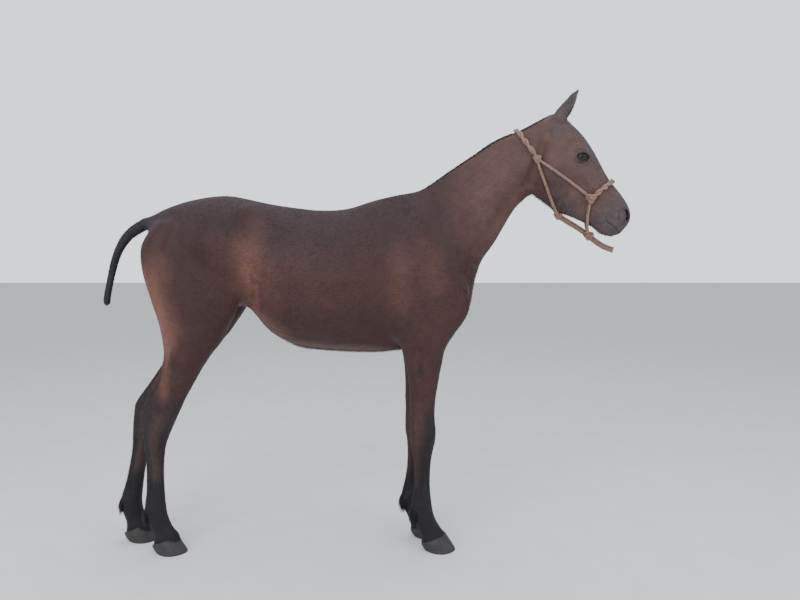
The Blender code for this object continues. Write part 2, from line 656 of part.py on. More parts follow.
def make_ear(name, side):
    """A cupped ear that opens to the front and a little to the side."""
    centres = [Vector((x, side * y, z)) for (x, y, z), _, _ in EAR]
    radii = [(across, deep) for _, across, deep in EAR]
    ear = sweep(name, centres, radii, EAR_SIDES)
    open_way = Vector((0.90, side * 0.25, -0.35)).normalized()
    hollow_centres = []
    hollow_radii = []
    shares = (0.40, 0.78, 0.84, 0.82, 0.60)
    for centre, (across, deep), share in zip(centres[1:-1], radii[1:-1], shares):
        hollow_centres.append(centre + open_way * deep * 0.66)
        hollow_radii.append((across * share, deep * share * 1.25))
    hollow = sweep("hollow", hollow_centres, hollow_radii, EAR_SIDES)
    boolean(ear, hollow, "DIFFERENCE")
    remove(hollow)
    return keep_largest(ear)


def make_hoof(name, side, hind):
    """One hoof. side is -1 on the right and 1 on the left."""
    if hind:
        offset, stride, narrow = HIND_HOOF_OFFSET, HIND_STRIDE[-1][1], HIND_HOOF_SHARE
        out = side * HIND_HOOF_OUT + HIND_SWAY[-1][1]
    else:
        offset, stride, narrow = 0.0, FORE_STRIDE[-1][1], 1.0
        out = side * HOOF_OUT
    if side > 0:
        offset += stride
    stations = []
    for front, back, half in HOOF:
        width = half * narrow
        stations.append(Station((front[0] + offset, front[1]), (back[0] + offset, back[1]),
                                width * 0.72, width, width * 0.66, 2.2, out))
    return loft(name, stations, HOOF_SIDES, 1)


def angle_turned(x):
    share = max(0.0, min(1.0, (x - TURN_START) / (TURN_END - TURN_START)))
    return HEAD_TURN * share * share * (3 - 2 * share)


def turn_table():
    """Places of the middle line of the neck and head, seen from above, every millimetre."""
    table = [Vector((TURN_START, 0))]
    for step in range(900):
        angle = angle_turned(TURN_START + (step + 0.5) * 0.001)
        table.append(table[-1] + Vector((math.cos(angle), math.sin(angle))) * 0.001)
    return table


MIDDLE = turn_table()


def turned(place):
    """Where a place of the straight mare comes when the neck and head are turned."""
    if place.x <= TURN_START:
        return place.copy()
    steps = (place.x - TURN_START) / 0.001
    first = min(int(steps), len(MIDDLE) - 2)
    middle = MIDDLE[first].lerp(MIDDLE[first + 1], steps - first)
    angle = angle_turned(place.x)
    return Vector((middle.x - math.sin(angle) * place.y,
                   middle.y + math.cos(angle) * place.y, place.z))


def turn_head(obj):
    """Bends the object with the neck and head, as triangles, so that flat faces stay flat."""
    triangulated(obj)
    for vertex in obj.data.vertices:
        vertex.co = turned(vertex.co)


def cut_slab(upper, lower, reach):
    """A thin slab through the two points, seen from the side, turned with the neck there."""
    middle_x, middle_z = (upper[0] + lower[0]) / 2, (upper[1] + lower[1]) / 2
    mesh = bmesh.new()
    bmesh.ops.create_cube(mesh, size=1)
    length = math.hypot(upper[0] - lower[0], upper[1] - lower[1])
    bmesh.ops.scale(mesh, verts=mesh.verts, vec=(length, reach, GAP))
    slope = math.atan2(upper[1] - lower[1], upper[0] - lower[0])
    bmesh.ops.rotate(mesh, verts=mesh.verts, matrix=Matrix.Rotation(-slope, 3, "Y"))
    bmesh.ops.rotate(mesh, verts=mesh.verts,
                     matrix=Matrix.Rotation(angle_turned(middle_x), 3, "Z"))
    bmesh.ops.translate(mesh, verts=mesh.verts, vec=turned(Vector((middle_x, 0, middle_z))))
    return new_object("slab", mesh)


def loose_parts(obj):
    """Splits the object into its separate closed bodies."""
    mesh = bmesh.new()
    mesh.from_mesh(obj.data)
    parts = []
    for shell in shells_of(mesh)[-len(BODY_NODES):]:
        piece = bmesh.new()
        made = {vertex: piece.verts.new(vertex.co) for vertex in shell}
        for face in {face for vertex in shell for face in vertex.link_faces}:
            piece.faces.new([made[vertex] for vertex in face.verts])
        parts.append(new_object("part", piece))
    mesh.free()
    return parts


def name_of(part):
    """The name of a piece of the body, from where it lies."""
    corners = [vertex.co for vertex in part.data.vertices]
    low = Vector([min(corner[i] for corner in corners) for i in range(3)])
    high = Vector([max(corner[i] for corner in corners) for i in range(3)])
    middle = (low + high) / 2
    if high.z < 1.0:
        side = "left" if middle.y > 0 else "right"
        return ("foreleg_" if middle.x > -0.4 else "hindleg_") + side
    if high.x > 0.8:
        return "head"
    if low.x < -1.1:
        return "tail"
    return "neck" if low.x > 0.0 else "torso"


# The halter, as places seen from the side
CREST_TOP = (0.468, 1.719)
CHEEK_KNOT = (0.553, 1.595)
NOSE_KNOT = (0.762, 1.439)
NOSE_TOP = (0.849, 1.507)
THROAT_KNOT = Vector((0.640, 0, 1.374))
CHIN_KNOT = Vector((0.762, 0, 1.292))
LOOP_END = Vector((0.857, 0, 1.234))
DOUBLED = ROPE_RADIUS * 1.75  # half the width where two ropes lie side by side


def over_the_top(surface, start, top, side, count):
    """Places on the surface from a side point up over to the mid plane, in one slanted plane."""
    start, top = Vector((start[0], 0, start[1])), Vector((top[0], 0, top[1]))
    up = (top - start).normalized()
    inside = start.lerp(top, 0.45)
    first = surface.ray_cast(Vector((start.x, side * 0.3, start.z)), Vector((0, -side, 0)))[0]
    low = math.atan2((first - inside).dot(up), side * first.y)
    places = []
    for step in range(count):
        angle = low + (math.pi / 2 - low) * step / (count - 1)
        way = Vector((0, side * math.cos(angle), 0)) + up * math.sin(angle)
        places.append(surface.ray_cast(inside, way)[0])
    return places


def down_the_side(surface, start, end, side, count):
    """Places on the surface along a straight line seen from the side."""
    places = []
    for step in range(count):
        share = step / (count - 1)
        x = start[0] + (end[0] - start[0]) * share
        z = start[1] + (end[1] - start[1]) * share
        places.append(surface.ray_cast(Vector((x, side * 0.3, z)), Vector((0, -side, 0)))[0])
    return places


def lay(surface, places, wide, thick):
    """The course of a rope laid on the surface through the places, whose ends stay in place."""
    clear = thick + 0.0008
    centres = []
    for place in places:
        near, normal = surface.find_nearest(place)[:2]
        centres.append(near + normal * clear if (place - near).length < 0.004 else place)
    for _ in range(6):
        inner = [before.lerp(after, 0.5).lerp(here, 0.5)
                 for before, here, after in zip(centres, centres[1:], centres[2:])]
        centres = [centres[0], *inner, centres[-1]]
        for i, centre in enumerate(centres):
            near, normal = surface.find_nearest(centre)[:2]
            if (centre - near).dot(normal) < clear:
                centres[i] = near + normal * clear
    across = []
    for i, centre in enumerate(centres):
        ahead = centres[min(i + 1, len(centres) - 1)] - centres[max(i - 1, 0)]
        normal = centre - surface.find_nearest(centre)[0]
        across.append(ahead.cross(normal).normalized())
    return centres, [(wide, thick)] * len(centres), across


def halter_plan(surface):
    """The courses of the ropes, and the centres and radii of the knots, by name."""
    rope = ROPE_RADIUS
    courses, knots = {}, {}
    for side, label in ((-1, "right"), (1, "left")):
        cheek = down_the_side(surface, CHEEK_KNOT, NOSE_KNOT, side, 9)
        crown = over_the_top(surface, CHEEK_KNOT, CREST_TOP, side, 8)
        crown[-1].y = 0.0
        courses["rope_crown_" + label] = lay(surface, crown, DOUBLED, rope)
        band = over_the_top(surface, NOSE_KNOT, NOSE_TOP, side, 7)
        band[-1].y = 0.0
        courses["rope_nose_" + label] = lay(surface, band, DOUBLED, rope)
        throat = down_the_side(surface, CHEEK_KNOT, (0.626, 1.402), side, 7)
        throat.append(Vector((0.634, side * 0.026, 1.381)))
        throat.append(THROAT_KNOT + Vector((0, side * 0.004, 0)))
        courses["rope_throat_" + label] = lay(surface, throat, rope, rope)
        chin = down_the_side(surface, NOSE_KNOT, (0.748, 1.352), side, 4)
        chin.append(Vector((0.749, side * 0.032, 1.326)))
        chin.append(CHIN_KNOT + Vector((-0.004, side * 0.010, 0.010)))
        courses["rope_chin_" + label] = lay(surface, chin, rope, rope)
        courses["rope_cheek_" + label] = lay(surface, cheek, rope, rope)
        for kind, place, size in (("cheek", cheek[0], KNOT_RADIUS),
                                  ("nose", cheek[-1], NOSE_KNOT_RADIUS)):
            normal = surface.find_nearest(place)[1]
            knots[f"knot_{kind}_{label}"] = (place + normal * KNOT_LIFT, (size, size * 0.85, size))
    sideways_ropes = [Vector((0, 1, 0))] * 6
    under = [THROAT_KNOT, Vector((0.667, 0, 1.356)), Vector((0.696, 0, 1.338)),
             Vector((0.730, 0, 1.316)), CHIN_KNOT]
    courses["rope_under_jaw"] = (under, [(DOUBLED, rope)] * 5, sideways_ropes)
    loop = [CHIN_KNOT.lerp(LOOP_END, step / 5)
            - Vector((0, 0, 0.008 * math.sin(math.pi * step / 5))) for step in range(6)]
    ends = [(DOUBLED, rope)] * 5 + [(rope * 1.3, rope * 0.7)]
    courses["rope_loop"] = (loop, ends, sideways_ropes)
    knots["knot_throat"] = (THROAT_KNOT, (KNOT_RADIUS, KNOT_RADIUS * 0.85, KNOT_RADIUS))
    knots["knot_chin"] = (CHIN_KNOT, (KNOT_RADIUS * 1.25, KNOT_RADIUS, KNOT_RADIUS * 1.1))
    return courses, knots


def halter_piece(name, plan, by):
    """One piece of the halter, larger by this much all round."""
    courses, knots = plan
    if name in knots:
        centre, radii = knots[name]
        return lump(name, centre, [radius + by for radius in radii], 0, 2)
    centres, radii, across = courses[name]
    return sweep(name, centres, [(wide + by, thick + by) for wide, thick in radii],
                 ROPE_SIDES, across)


def make_halter(body):
    """The pieces of the rope halter by name, for the mare with a straight neck."""
    plan = halter_plan(surface_of(body))
    names = [*plan[1], *plan[0]]
    pieces = {}
    for number, name in enumerate(names):
        piece = halter_piece(name, plan, 0)
        for other in names[:number]:
            if surface_of(piece).overlap(surface_of(pieces[other])):
                cutter = halter_piece(other, plan, 1.5 * GAP)
                boolean(piece, cutter, "DIFFERENCE")
                remove(cutter)
                keep_largest(piece)
        pieces[name] = piece
    middle = new_box("middle", Vector((0.65, 0, 1.5)), Vector((1.0, GAP, 1.0)))
    for name in ("rope_crown_right", "rope_crown_left", "rope_nose_right", "rope_nose_left"):
        boolean(pieces[name], middle, "DIFFERENCE")
        keep_largest(pieces[name])
    remove(middle)
    cutter = grown(body, GAP)
    for piece in pieces.values():
        boolean(piece, cutter, "DIFFERENCE")
        keep_largest(piece)
    remove(cutter)
    return pieces


def new_box(name, centre, size):
    mesh = bmesh.new()
    bmesh.ops.create_cube(mesh, size=1)
    bmesh.ops.scale(mesh, verts=mesh.verts, vec=size)
    bmesh.ops.translate(mesh, verts=mesh.verts, vec=centre)
    return new_object(name, mesh)


def lock(root, way, length, wide, thick, across):
    """A flat lock of hair that tapers to its tip."""
    centres = [root + way * length * share for share in (0.0, 0.4, 0.75, 1.0)]
    radii = [(wide, thick), (wide, thick), (wide * 0.7, thick * 0.7), (wide * 0.15, thick * 0.3)]
    return sweep("lock", centres, radii, 4, across)


def add_mane(neck, chance):
    """The clipped mane: a row of short upright locks along the crest."""
    surface = surface_of(neck)
    locks = []
    start, end = MANE
    for step in range(int((end - start) / MANE_STEP) + 1):
        x = start + step * MANE_STEP
        if abs(x - CREST_TOP[0]) < MANE_BREAK:
            continue
        above = turned(Vector((x, 0, 0)))
        hit = surface.ray_cast(Vector((above.x, above.y, 2.5)), Vector((0, 0, -1)))[0]
        root = hit + Vector((0, chance.uniform(-0.002, 0.002), -MANE_DEPTH))
        way = Vector((chance.uniform(-0.45, -0.20), chance.uniform(-0.15, 0.15), 1)).normalized()
        locks.append(lock(root, way, chance.uniform(*MANE_LENGTH), 0.013, 0.005,
                          Vector((1, 0, 0.5))))
    return fuse(neck, locks)


TUFTS = [  # place of the tuft at the back of a fetlock, its spread, and its length
    ("foreleg_right", (0.050, -0.072, 0.150), 0.016, 0.034),
    ("foreleg_left", (0.008, 0.072, 0.150), 0.016, 0.034),
    ("hindleg_right", (-1.042, -0.091, 0.148), 0.016, 0.034),
    ("hindleg_left", (-1.194, 0.035, 0.146), 0.020, 0.050),
]


def add_tuft(leg, place, spread, length, chance):
    """The hair that hangs behind one fetlock."""
    surface = surface_of(leg)
    locks = []
    for number in range(6):
        out = -1 + 2 * number / 5
        aim = Vector(place) + Vector((-0.05, out * spread, 0.004 * chance.uniform(-1, 1)))
        hit = surface.ray_cast(aim, Vector((1, 0, 0)))[0]
        way = Vector((-0.62 + 0.2 * abs(out), 0.25 * out, -1)).normalized()
        root = hit + Vector((TUFT_DEPTH, 0, 0.006))
        locks.append(lock(root, way, length * chance.uniform(0.85, 1.1), 0.0075, 0.004,
                          Vector((0, 1, 0))))
    return fuse(leg, locks)


COLOURS = {
    "coat": ((0.115, 0.052, 0.032), 0.55),
    "points": ((0.016, 0.013, 0.013), 0.50),
    "hoof": ((0.085, 0.072, 0.062), 0.45),
    "eye": ((0.010, 0.006, 0.005), 0.08),
    "rope": ((0.500, 0.215, 0.125), 0.75),
}

MATERIAL_OF = {"tail": "points", "hoof": "hoof", "eye": "eye", "rope": "rope", "knot": "rope",
               "foreleg": "points", "hindleg": "points"}


def dress(obj, collection):
    """Gives the object its material and puts it in the collection."""
    kind = MATERIAL_OF.get(obj.name.split("_")[0], "coat")
    material = bpy.data.materials.get(kind)
    if material is None:
        colour, roughness = COLOURS[kind]
        material = bpy.data.materials.new(kind)
        material.use_nodes = True
        shader = material.node_tree.nodes["Principled BSDF"]
        shader.inputs["Base Color"].default_value = (*colour, 1)
        shader.inputs["Roughness"].default_value = roughness
    obj.data.materials.clear()
    obj.data.materials.append(material)
    for polygon in obj.data.polygons:
        polygon.material_index = 0
    for user in list(obj.users_collection):
        user.objects.unlink(obj)
    collection.objects.link(obj)


def named(obj, name):
    obj.name = name
    obj.data.name = name
    return obj


def build():
    remove(*list(bpy.data.objects))
    chance = random.Random(7)
    body = whole_body()
    triangulated(body)
    thin_out(body, lambda middle: middle.x < 0.565, BODY_TRIANGLES)
    thin_out(body, lambda middle: middle.x >= 0.565, HEAD_TRIANGLES)
    carve_eyes(body)
    carve_muzzle(body)
    objects = [named(piece, name) for name, piece in make_halter(body).items()]
    for side, label in ((-1, "right"), (1, "left")):
        centre = (EYE_CENTRE.x, side * EYE_CENTRE.y, EYE_CENTRE.z)
        objects.append(named(lump("eye", centre, (EYE_RADIUS,) * 3, 0, 3), "eye_" + label))
        ear = named(make_ear("ear", side), "ear_" + label)
        trim(ear, body)
        objects.append(ear)
        for kind in ("fore", "hind"):
            hoof = named(make_hoof("hoof", side, kind == "hind"), f"hoof_{kind}_{label}")
            trim(body, hoof)
            objects.append(hoof)
    for obj in [body, *objects]:
        turn_head(obj)
    slabs = joined("slabs", [cut_slab(*cut) for cut in CUTS])
    boolean(body, slabs, "DIFFERENCE")
    remove(slabs)
    parts = {}
    for part in loose_parts(body):
        name = name_of(part)
        parts[name] = named(part, name)
        objects.append(part)
    remove(body)
    add_mane(parts["neck"], chance)
    for name, place, spread, length in TUFTS:
        add_tuft(parts[name], place, spread, length, chance)
    collection = bpy.data.collections.new("hispano_arabian_horse")
    bpy.context.scene.collection.children.link(collection)
    corners = [vertex.co for obj in objects for vertex in obj.data.vertices]
    low = Vector([min(corner[i] for corner in corners) for i in range(3)])
    high = Vector([max(corner[i] for corner in corners) for i in range(3)])
    shift = Vector((-(low.x + high.x) / 2, -(low.y + high.y) / 2, -low.z))
    for obj in objects:
        for vertex in obj.data.vertices:
            vertex.co += shift
        dress(obj, collection)


build()
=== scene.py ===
"""The looks of the young Hispano-Arabian mare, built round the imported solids.

Metres, +Z up, +X towards the head, her right side at -Y, the floor at z = 0. As in the
solids, the neck is first made straight, in the frame that the tables below are given in, and
turned() then bends it and place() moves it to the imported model's frame.
"""

import math
from collections import namedtuple

import bmesh
import bpy
import numpy as np
from mathutils import Matrix, Vector
from mathutils.bvhtree import BVHTree


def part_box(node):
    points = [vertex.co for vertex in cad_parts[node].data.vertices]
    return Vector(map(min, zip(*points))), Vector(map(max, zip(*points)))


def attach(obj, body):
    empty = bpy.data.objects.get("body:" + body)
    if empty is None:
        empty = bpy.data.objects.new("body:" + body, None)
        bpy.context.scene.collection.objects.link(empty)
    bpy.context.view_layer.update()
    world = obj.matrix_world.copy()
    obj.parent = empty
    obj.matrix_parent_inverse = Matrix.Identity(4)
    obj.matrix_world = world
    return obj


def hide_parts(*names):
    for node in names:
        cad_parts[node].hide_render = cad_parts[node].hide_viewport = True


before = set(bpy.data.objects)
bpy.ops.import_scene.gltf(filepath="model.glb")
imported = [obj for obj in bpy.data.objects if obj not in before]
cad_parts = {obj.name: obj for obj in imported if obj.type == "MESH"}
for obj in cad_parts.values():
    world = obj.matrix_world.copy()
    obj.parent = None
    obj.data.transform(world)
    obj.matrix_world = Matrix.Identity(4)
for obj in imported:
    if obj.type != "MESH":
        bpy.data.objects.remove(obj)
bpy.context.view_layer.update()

# The mare's measures, as in the solids
HEAD_TURN = math.radians(-9)
TURN_START = 0.22
TURN_END = 0.60
ROPE_RADIUS = 0.0065
KNOT_RADIUS = 0.0155
NOSE_KNOT_RADIUS = 0.018
KNOT_LIFT = 0.0085  # the middle of a knot over the skin
SOLID_EYE = (0.724, -0.0745, 1.596)
EYE_CENTRE = Vector((0.720, 0.0705, 1.595))
EYE_RADIUS = 0.0255
BALL_RADIUS = EYE_RADIUS - 0.0002
SOCKET_RADIUS = EYE_RADIUS + 0.0004
LID_EDGE_RADIUS = EYE_RADIUS + 0.0022  # where the bare edges of the lids lie, from the middle
LASH_RADIUS = EYE_RADIUS + 0.0026
LID_RADIUS = EYE_RADIUS + 0.0045
SIDES = ((-1, "right"), (1, "left"))
HIND_FROM = -0.4  # the legs behind this x are the hind ones

# The photograph's camera
CAMERA_PLACE = (0.1513, -2.73, 1.200)
CAMERA_PITCH = 3.6  # degrees down
FOCAL_LENGTH = 29.7

# Fineness of the skin
LOFT_SIDES = 40
VOXEL = 0.006
SKIN_TRIANGLES = 84000
SEED = 11


def rows_of(kind, rows):
    return [kind(*row) for row in rows]


# A section of the body in an upright plane that runs across it. upper and lower are (x, z).
# high, mid and low are half widths at the top, the middle and the bottom of the section,
# power squares its corners, and y is its distance from the mid plane.
Station = namedtuple("Station", "upper lower high mid low power y", defaults=(2.2, 0.0))

TRUNK = rows_of(Station, [
    ((-1.030, 1.362), (-1.022, 1.150), 0.040, 0.055, 0.035),  # under the dock
    ((-0.990, 1.392), (-0.985, 1.095), 0.080, 0.118, 0.070),
    ((-0.930, 1.417), (-0.925, 1.060), 0.118, 0.160, 0.100),
    ((-0.860, 1.438), (-0.860, 1.035), 0.148, 0.190, 0.120),
    ((-0.780, 1.453), (-0.780, 1.012), 0.160, 0.208, 0.135),  # croup
    ((-0.700, 1.458), (-0.700, 0.992), 0.160, 0.212, 0.145),
    ((-0.620, 1.444), (-0.628, 0.996), 0.152, 0.207, 0.145),  # point of hip
    ((-0.530, 1.425), (-0.535, 0.893), 0.128, 0.208, 0.135),  # flank
    ((-0.430, 1.410), (-0.430, 0.838), 0.122, 0.222, 0.125),
    ((-0.330, 1.400), (-0.330, 0.822), 0.120, 0.230, 0.125),  # back
    ((-0.220, 1.406), (-0.220, 0.815), 0.116, 0.228, 0.120),
    ((-0.110, 1.440), (-0.110, 0.812), 0.092, 0.213, 0.108),
    ((-0.020, 1.462), (-0.010, 0.820), 0.072, 0.193, 0.098),  # girth
    ((0.060, 1.477), (0.120, 0.836), 0.064, 0.176, 0.090),  # withers
    ((0.110, 1.498), (0.225, 0.892), 0.060, 0.160, 0.100),
    ((0.155, 1.528), (0.283, 0.985), 0.055, 0.143, 0.112),  # breast
    ((0.200, 1.560), (0.304, 1.090), 0.050, 0.125, 0.105),
    ((0.250, 1.593), (0.334, 1.185), 0.045, 0.104, 0.082),
    ((0.310, 1.634), (0.385, 1.258), 0.038, 0.086, 0.068),  # root of the neck
    ((0.370, 1.675), (0.429, 1.335), 0.034, 0.073, 0.060),
    ((0.429, 1.703), (0.464, 1.394), 0.033, 0.066, 0.058),
    ((0.488, 1.722), (0.503, 1.437), 0.034, 0.062, 0.057),
    ((0.547, 1.751), (0.547, 1.473), 0.038, 0.061, 0.055),  # throat
    ((0.600, 1.777), (0.605, 1.556), 0.040, 0.058, 0.050),
])

HEAD = rows_of(Station, [
    ((0.613, 1.783), (0.574, 1.725), 0.042, 0.050, 0.040, 2.2),  # poll
    ((0.648, 1.766), (0.553, 1.617), 0.062, 0.072, 0.052, 2.5),
    ((0.682, 1.741), (0.538, 1.533), 0.074, 0.082, 0.052, 2.7),
    ((0.713, 1.711), (0.542, 1.460), 0.082, 0.087, 0.046, 2.9),  # back of the jaw
    ((0.744, 1.673), (0.571, 1.435), 0.086, 0.089, 0.040, 3.0),  # eyes
    ((0.777, 1.623), (0.611, 1.403), 0.072, 0.081, 0.036, 2.9),
    ((0.801, 1.581), (0.653, 1.383), 0.053, 0.069, 0.033, 2.7),
    ((0.821, 1.544), (0.696, 1.365), 0.043, 0.058, 0.031, 2.6),
    ((0.845, 1.506), (0.735, 1.347), 0.043, 0.055, 0.030, 2.5),
    ((0.874, 1.470), (0.773, 1.327), 0.041, 0.050, 0.031, 2.4),  # chin groove
    ((0.898, 1.436), (0.798, 1.304), 0.043, 0.051, 0.034, 2.4),
    ((0.915, 1.405), (0.825, 1.292), 0.044, 0.053, 0.034, 2.4),  # nostrils
    ((0.923, 1.373), (0.855, 1.289), 0.037, 0.045, 0.031, 2.4),
    ((0.920, 1.348), (0.881, 1.296), 0.026, 0.033, 0.024, 2.2),  # lips
])

TAIL = rows_of(Station, [
    ((-0.945, 1.404), (-0.965, 1.335), 0.020, 0.030, 0.022, 2.0),
    ((-1.000, 1.389), (-1.015, 1.326), 0.022, 0.030, 0.022, 2.0),
    ((-1.042, 1.372), (-1.050, 1.311), 0.022, 0.029, 0.022, 2.0),
    ((-1.078, 1.353), (-1.075, 1.300), 0.021, 0.027, 0.021, 2.0),
    ((-1.117, 1.327), (-1.104, 1.281), 0.019, 0.024, 0.019, 2.0),
    ((-1.150, 1.291), (-1.130, 1.252), 0.018, 0.022, 0.018, 2.0),
    ((-1.176, 1.245), (-1.150, 1.220), 0.016, 0.020, 0.016, 2.0),
    ((-1.198, 1.185), (-1.168, 1.172), 0.014, 0.018, 0.014, 2.0),
    ((-1.214, 1.115), (-1.184, 1.115), 0.013, 0.016, 0.013, 2.0),
    ((-1.228, 1.050), (-1.199, 1.050), 0.012, 0.015, 0.012, 2.0),
    ((-1.231, 1.018), (-1.204, 1.015), 0.011, 0.014, 0.011, 2.0),
    ((-1.228, 1.006), (-1.209, 1.004), 0.007, 0.009, 0.007, 2.0),  # clipped tip
])

# A level of a leg: its height, its front and back edges, how far out its middle lies,
# half its width, and the share of that width at the front and the back edge.
Level = namedtuple("Level", "z front back out half fore aft", defaults=(0.85, 0.80))

FORELEG = rows_of(Level, [
    (1.260, 0.165, 0.015, 0.095, 0.062),
    (1.160, 0.235, -0.035, 0.108, 0.068),  # shoulder
    (1.060, 0.276, -0.058, 0.114, 0.072),
    (0.980, 0.272, -0.060, 0.113, 0.074),  # point of shoulder
    (0.910, 0.226, -0.040, 0.108, 0.070),
    (0.850, 0.188, -0.008, 0.101, 0.061, 0.80, 0.70),  # elbow
    (0.790, 0.171, 0.014, 0.096, 0.054, 0.80, 0.70),
    (0.706, 0.155, 0.030, 0.090, 0.047),  # forearm
    (0.623, 0.142, 0.037, 0.085, 0.040),
    (0.560, 0.139, 0.041, 0.082, 0.037),
    (0.505, 0.144, 0.039, 0.080, 0.042, 1.00, 0.85),  # knee
    (0.460, 0.142, 0.040, 0.079, 0.043, 1.00, 0.85),
    (0.418, 0.133, 0.046, 0.078, 0.034, 0.95, 0.75),
    (0.370, 0.125, 0.053, 0.077, 0.0255, 0.95, 0.70),
    (0.300, 0.121, 0.056, 0.075, 0.0235, 0.95, 0.70),  # cannon
    (0.245, 0.123, 0.052, 0.074, 0.0255, 0.95, 0.75),
    (0.200, 0.128, 0.045, 0.073, 0.0320, 0.95, 0.80),
    (0.160, 0.134, 0.042, 0.072, 0.0345, 0.95, 0.85),  # fetlock
    (0.128, 0.145, 0.051, 0.071, 0.0310, 0.95, 0.80),
    (0.100, 0.161, 0.065, 0.071, 0.0285, 0.95, 0.80),  # pastern
    (0.072, 0.180, 0.079, 0.070, 0.0320, 0.95, 0.85),
    (0.045, 0.196, 0.086, 0.070, 0.0390, 0.90, 0.85),
    (0.020, 0.205, 0.091, 0.070, 0.0400, 0.90, 0.85),
])

HINDLEG = rows_of(Level, [
    (1.345, -0.740, -0.972, 0.092, 0.072),
    (1.290, -0.715, -1.010, 0.100, 0.082),
    (1.235, -0.682, -1.030, 0.108, 0.091),
    (1.150, -0.655, -1.023, 0.114, 0.096),  # buttock
    (1.070, -0.645, -1.000, 0.117, 0.096),
    (1.000, -0.645, -0.979, 0.116, 0.094),
    (0.930, -0.680, -0.959, 0.112, 0.087),
    (0.870, -0.711, -0.950, 0.106, 0.078),  # stifle
    (0.820, -0.752, -0.949, 0.100, 0.069),
    (0.760, -0.794, -0.963, 0.093, 0.058, 0.85, 0.60),  # gaskin
    (0.700, -0.829, -0.989, 0.087, 0.050, 0.85, 0.45),
    (0.640, -0.864, -1.024, 0.082, 0.044, 0.90, 0.40),
    (0.585, -0.891, -1.051, 0.078, 0.042, 0.95, 0.50),  # point of hock
    (0.540, -0.912, -1.050, 0.075, 0.043, 0.95, 0.60),
    (0.490, -0.935, -1.047, 0.073, 0.043, 0.95, 0.65),
    (0.440, -0.953, -1.042, 0.071, 0.036, 0.95, 0.70),
    (0.390, -0.960, -1.036, 0.069, 0.0285, 0.95, 0.70),
    (0.320, -0.964, -1.034, 0.067, 0.0255, 0.95, 0.70),  # cannon
    (0.250, -0.962, -1.037, 0.065, 0.0270, 0.95, 0.75),
    (0.205, -0.960, -1.043, 0.064, 0.0325, 0.95, 0.80),
    (0.165, -0.956, -1.045, 0.063, 0.0350, 0.95, 0.85),  # fetlock
    (0.130, -0.946, -1.037, 0.062, 0.0320, 0.95, 0.80),
    (0.102, -0.932, -1.025, 0.062, 0.0290, 0.95, 0.80),  # pastern
    (0.074, -0.912, -1.012, 0.062, 0.0320, 0.95, 0.85),
    (0.045, -0.899, -1.009, 0.062, 0.0385, 0.90, 0.85),
    (0.020, -0.892, -1.007, 0.062, 0.0390, 0.90, 0.85),
])

# How far the left legs stand behind the right ones, as (height, distance) from top to bottom.
FORE_STRIDE = [(0.90, 0.0), (0.60, -0.020), (0.42, -0.019), (0.30, -0.030), (0.16, -0.042),
               (0.0, -0.042)]
HIND_STRIDE = [(1.10, 0.0), (0.93, -0.024), (0.84, -0.040), (0.76, -0.056), (0.70, -0.069),
               (0.60, -0.080), (0.55, -0.088), (0.43, -0.103), (0.30, -0.128), (0.16, -0.152),
               (0.05, -0.163), (0.0, -0.165)]

# Both hind feet stand a little to the right of the middle, as (height, distance).
HIND_SWAY = [(1.00, 0.0), (0.55, -0.019), (0.0, -0.031)]


def along(table, height):
    """The distance at this height, read from rows of (height, distance) from top to bottom."""
    if height >= table[0][0]:
        return table[0][1]
    for (top, at_top), (bottom, at_bottom) in zip(table, table[1:]):
        if height >= bottom:
            share = (top - height) / (top - bottom)
            return at_top + (at_bottom - at_top) * share
    return table[-1][1]


def leg_stations(levels, side, stride, sway):
    """The sections of one leg. side is -1 on the right and 1 on the left."""
    made = []
    for level in levels:
        back_by = along(stride, level.z) if side > 0 else 0.0
        out = side * level.out + along(sway, level.z)
        made.append(Station(
            (level.front + back_by, level.z), (level.back + back_by, level.z),
            level.half * level.fore, level.half, level.half * level.aft, 2.3, out))
    return made


def spline(before, start, end, after, share):
    """A point of the smooth curve through start and end, for numbers or tuples of numbers."""
    if isinstance(start, tuple):
        return tuple(spline(*four, share) for four in zip(before, start, end, after))
    return 0.5 * (2 * start + (end - before) * share
                  + (2 * before - 5 * start + 4 * end - after) * share ** 2
                  + (3 * start - before - 3 * end + after) * share ** 3)


def half_width(station, share):
    """The section's half width at a share of its height, from 0 at the bottom to 1 at the top."""
    return (station.low * (1 - share) * (1 - 2 * share)
            + station.mid * 4 * share * (1 - share)
            + station.high * share * (2 * share - 1))


def raised(value, power):
    """The value's size raised to the power, with the value's sign."""
    return math.copysign(abs(value) ** power, value)


def section(station, sides):
    """The points round one section."""
    lower, upper = Vector(station.lower), Vector(station.upper)
    points = []
    for side in range(sides):
        angle = 2 * math.pi * side / sides
        across, up = math.cos(angle), math.sin(angle)
        share = 0.5 + 0.5 * raised(up, 2 / station.power)
        width = half_width(station, share) * raised(across, 2 / station.power)
        place = lower.lerp(upper, share)
        points.append(Vector((place.x, station.y + width, place.y)))
    return points


def tube(name, mesh, rings, closed=False):
    """An object with the faces between rings of vertices, and the ends of an open tube."""
    sides = len(rings[0])
    for ring, following in zip(rings, rings[1:] + rings[:1] if closed else rings[1:]):
        for i in range(sides):
            j = (i + 1) % sides
            mesh.faces.new((ring[i], ring[j], following[j], following[i]))
    if not closed:
        for ring in (rings[0], rings[-1]):
            mesh.faces.new(ring)
    bmesh.ops.recalc_face_normals(mesh, faces=mesh.faces)
    return new_object(name, mesh)


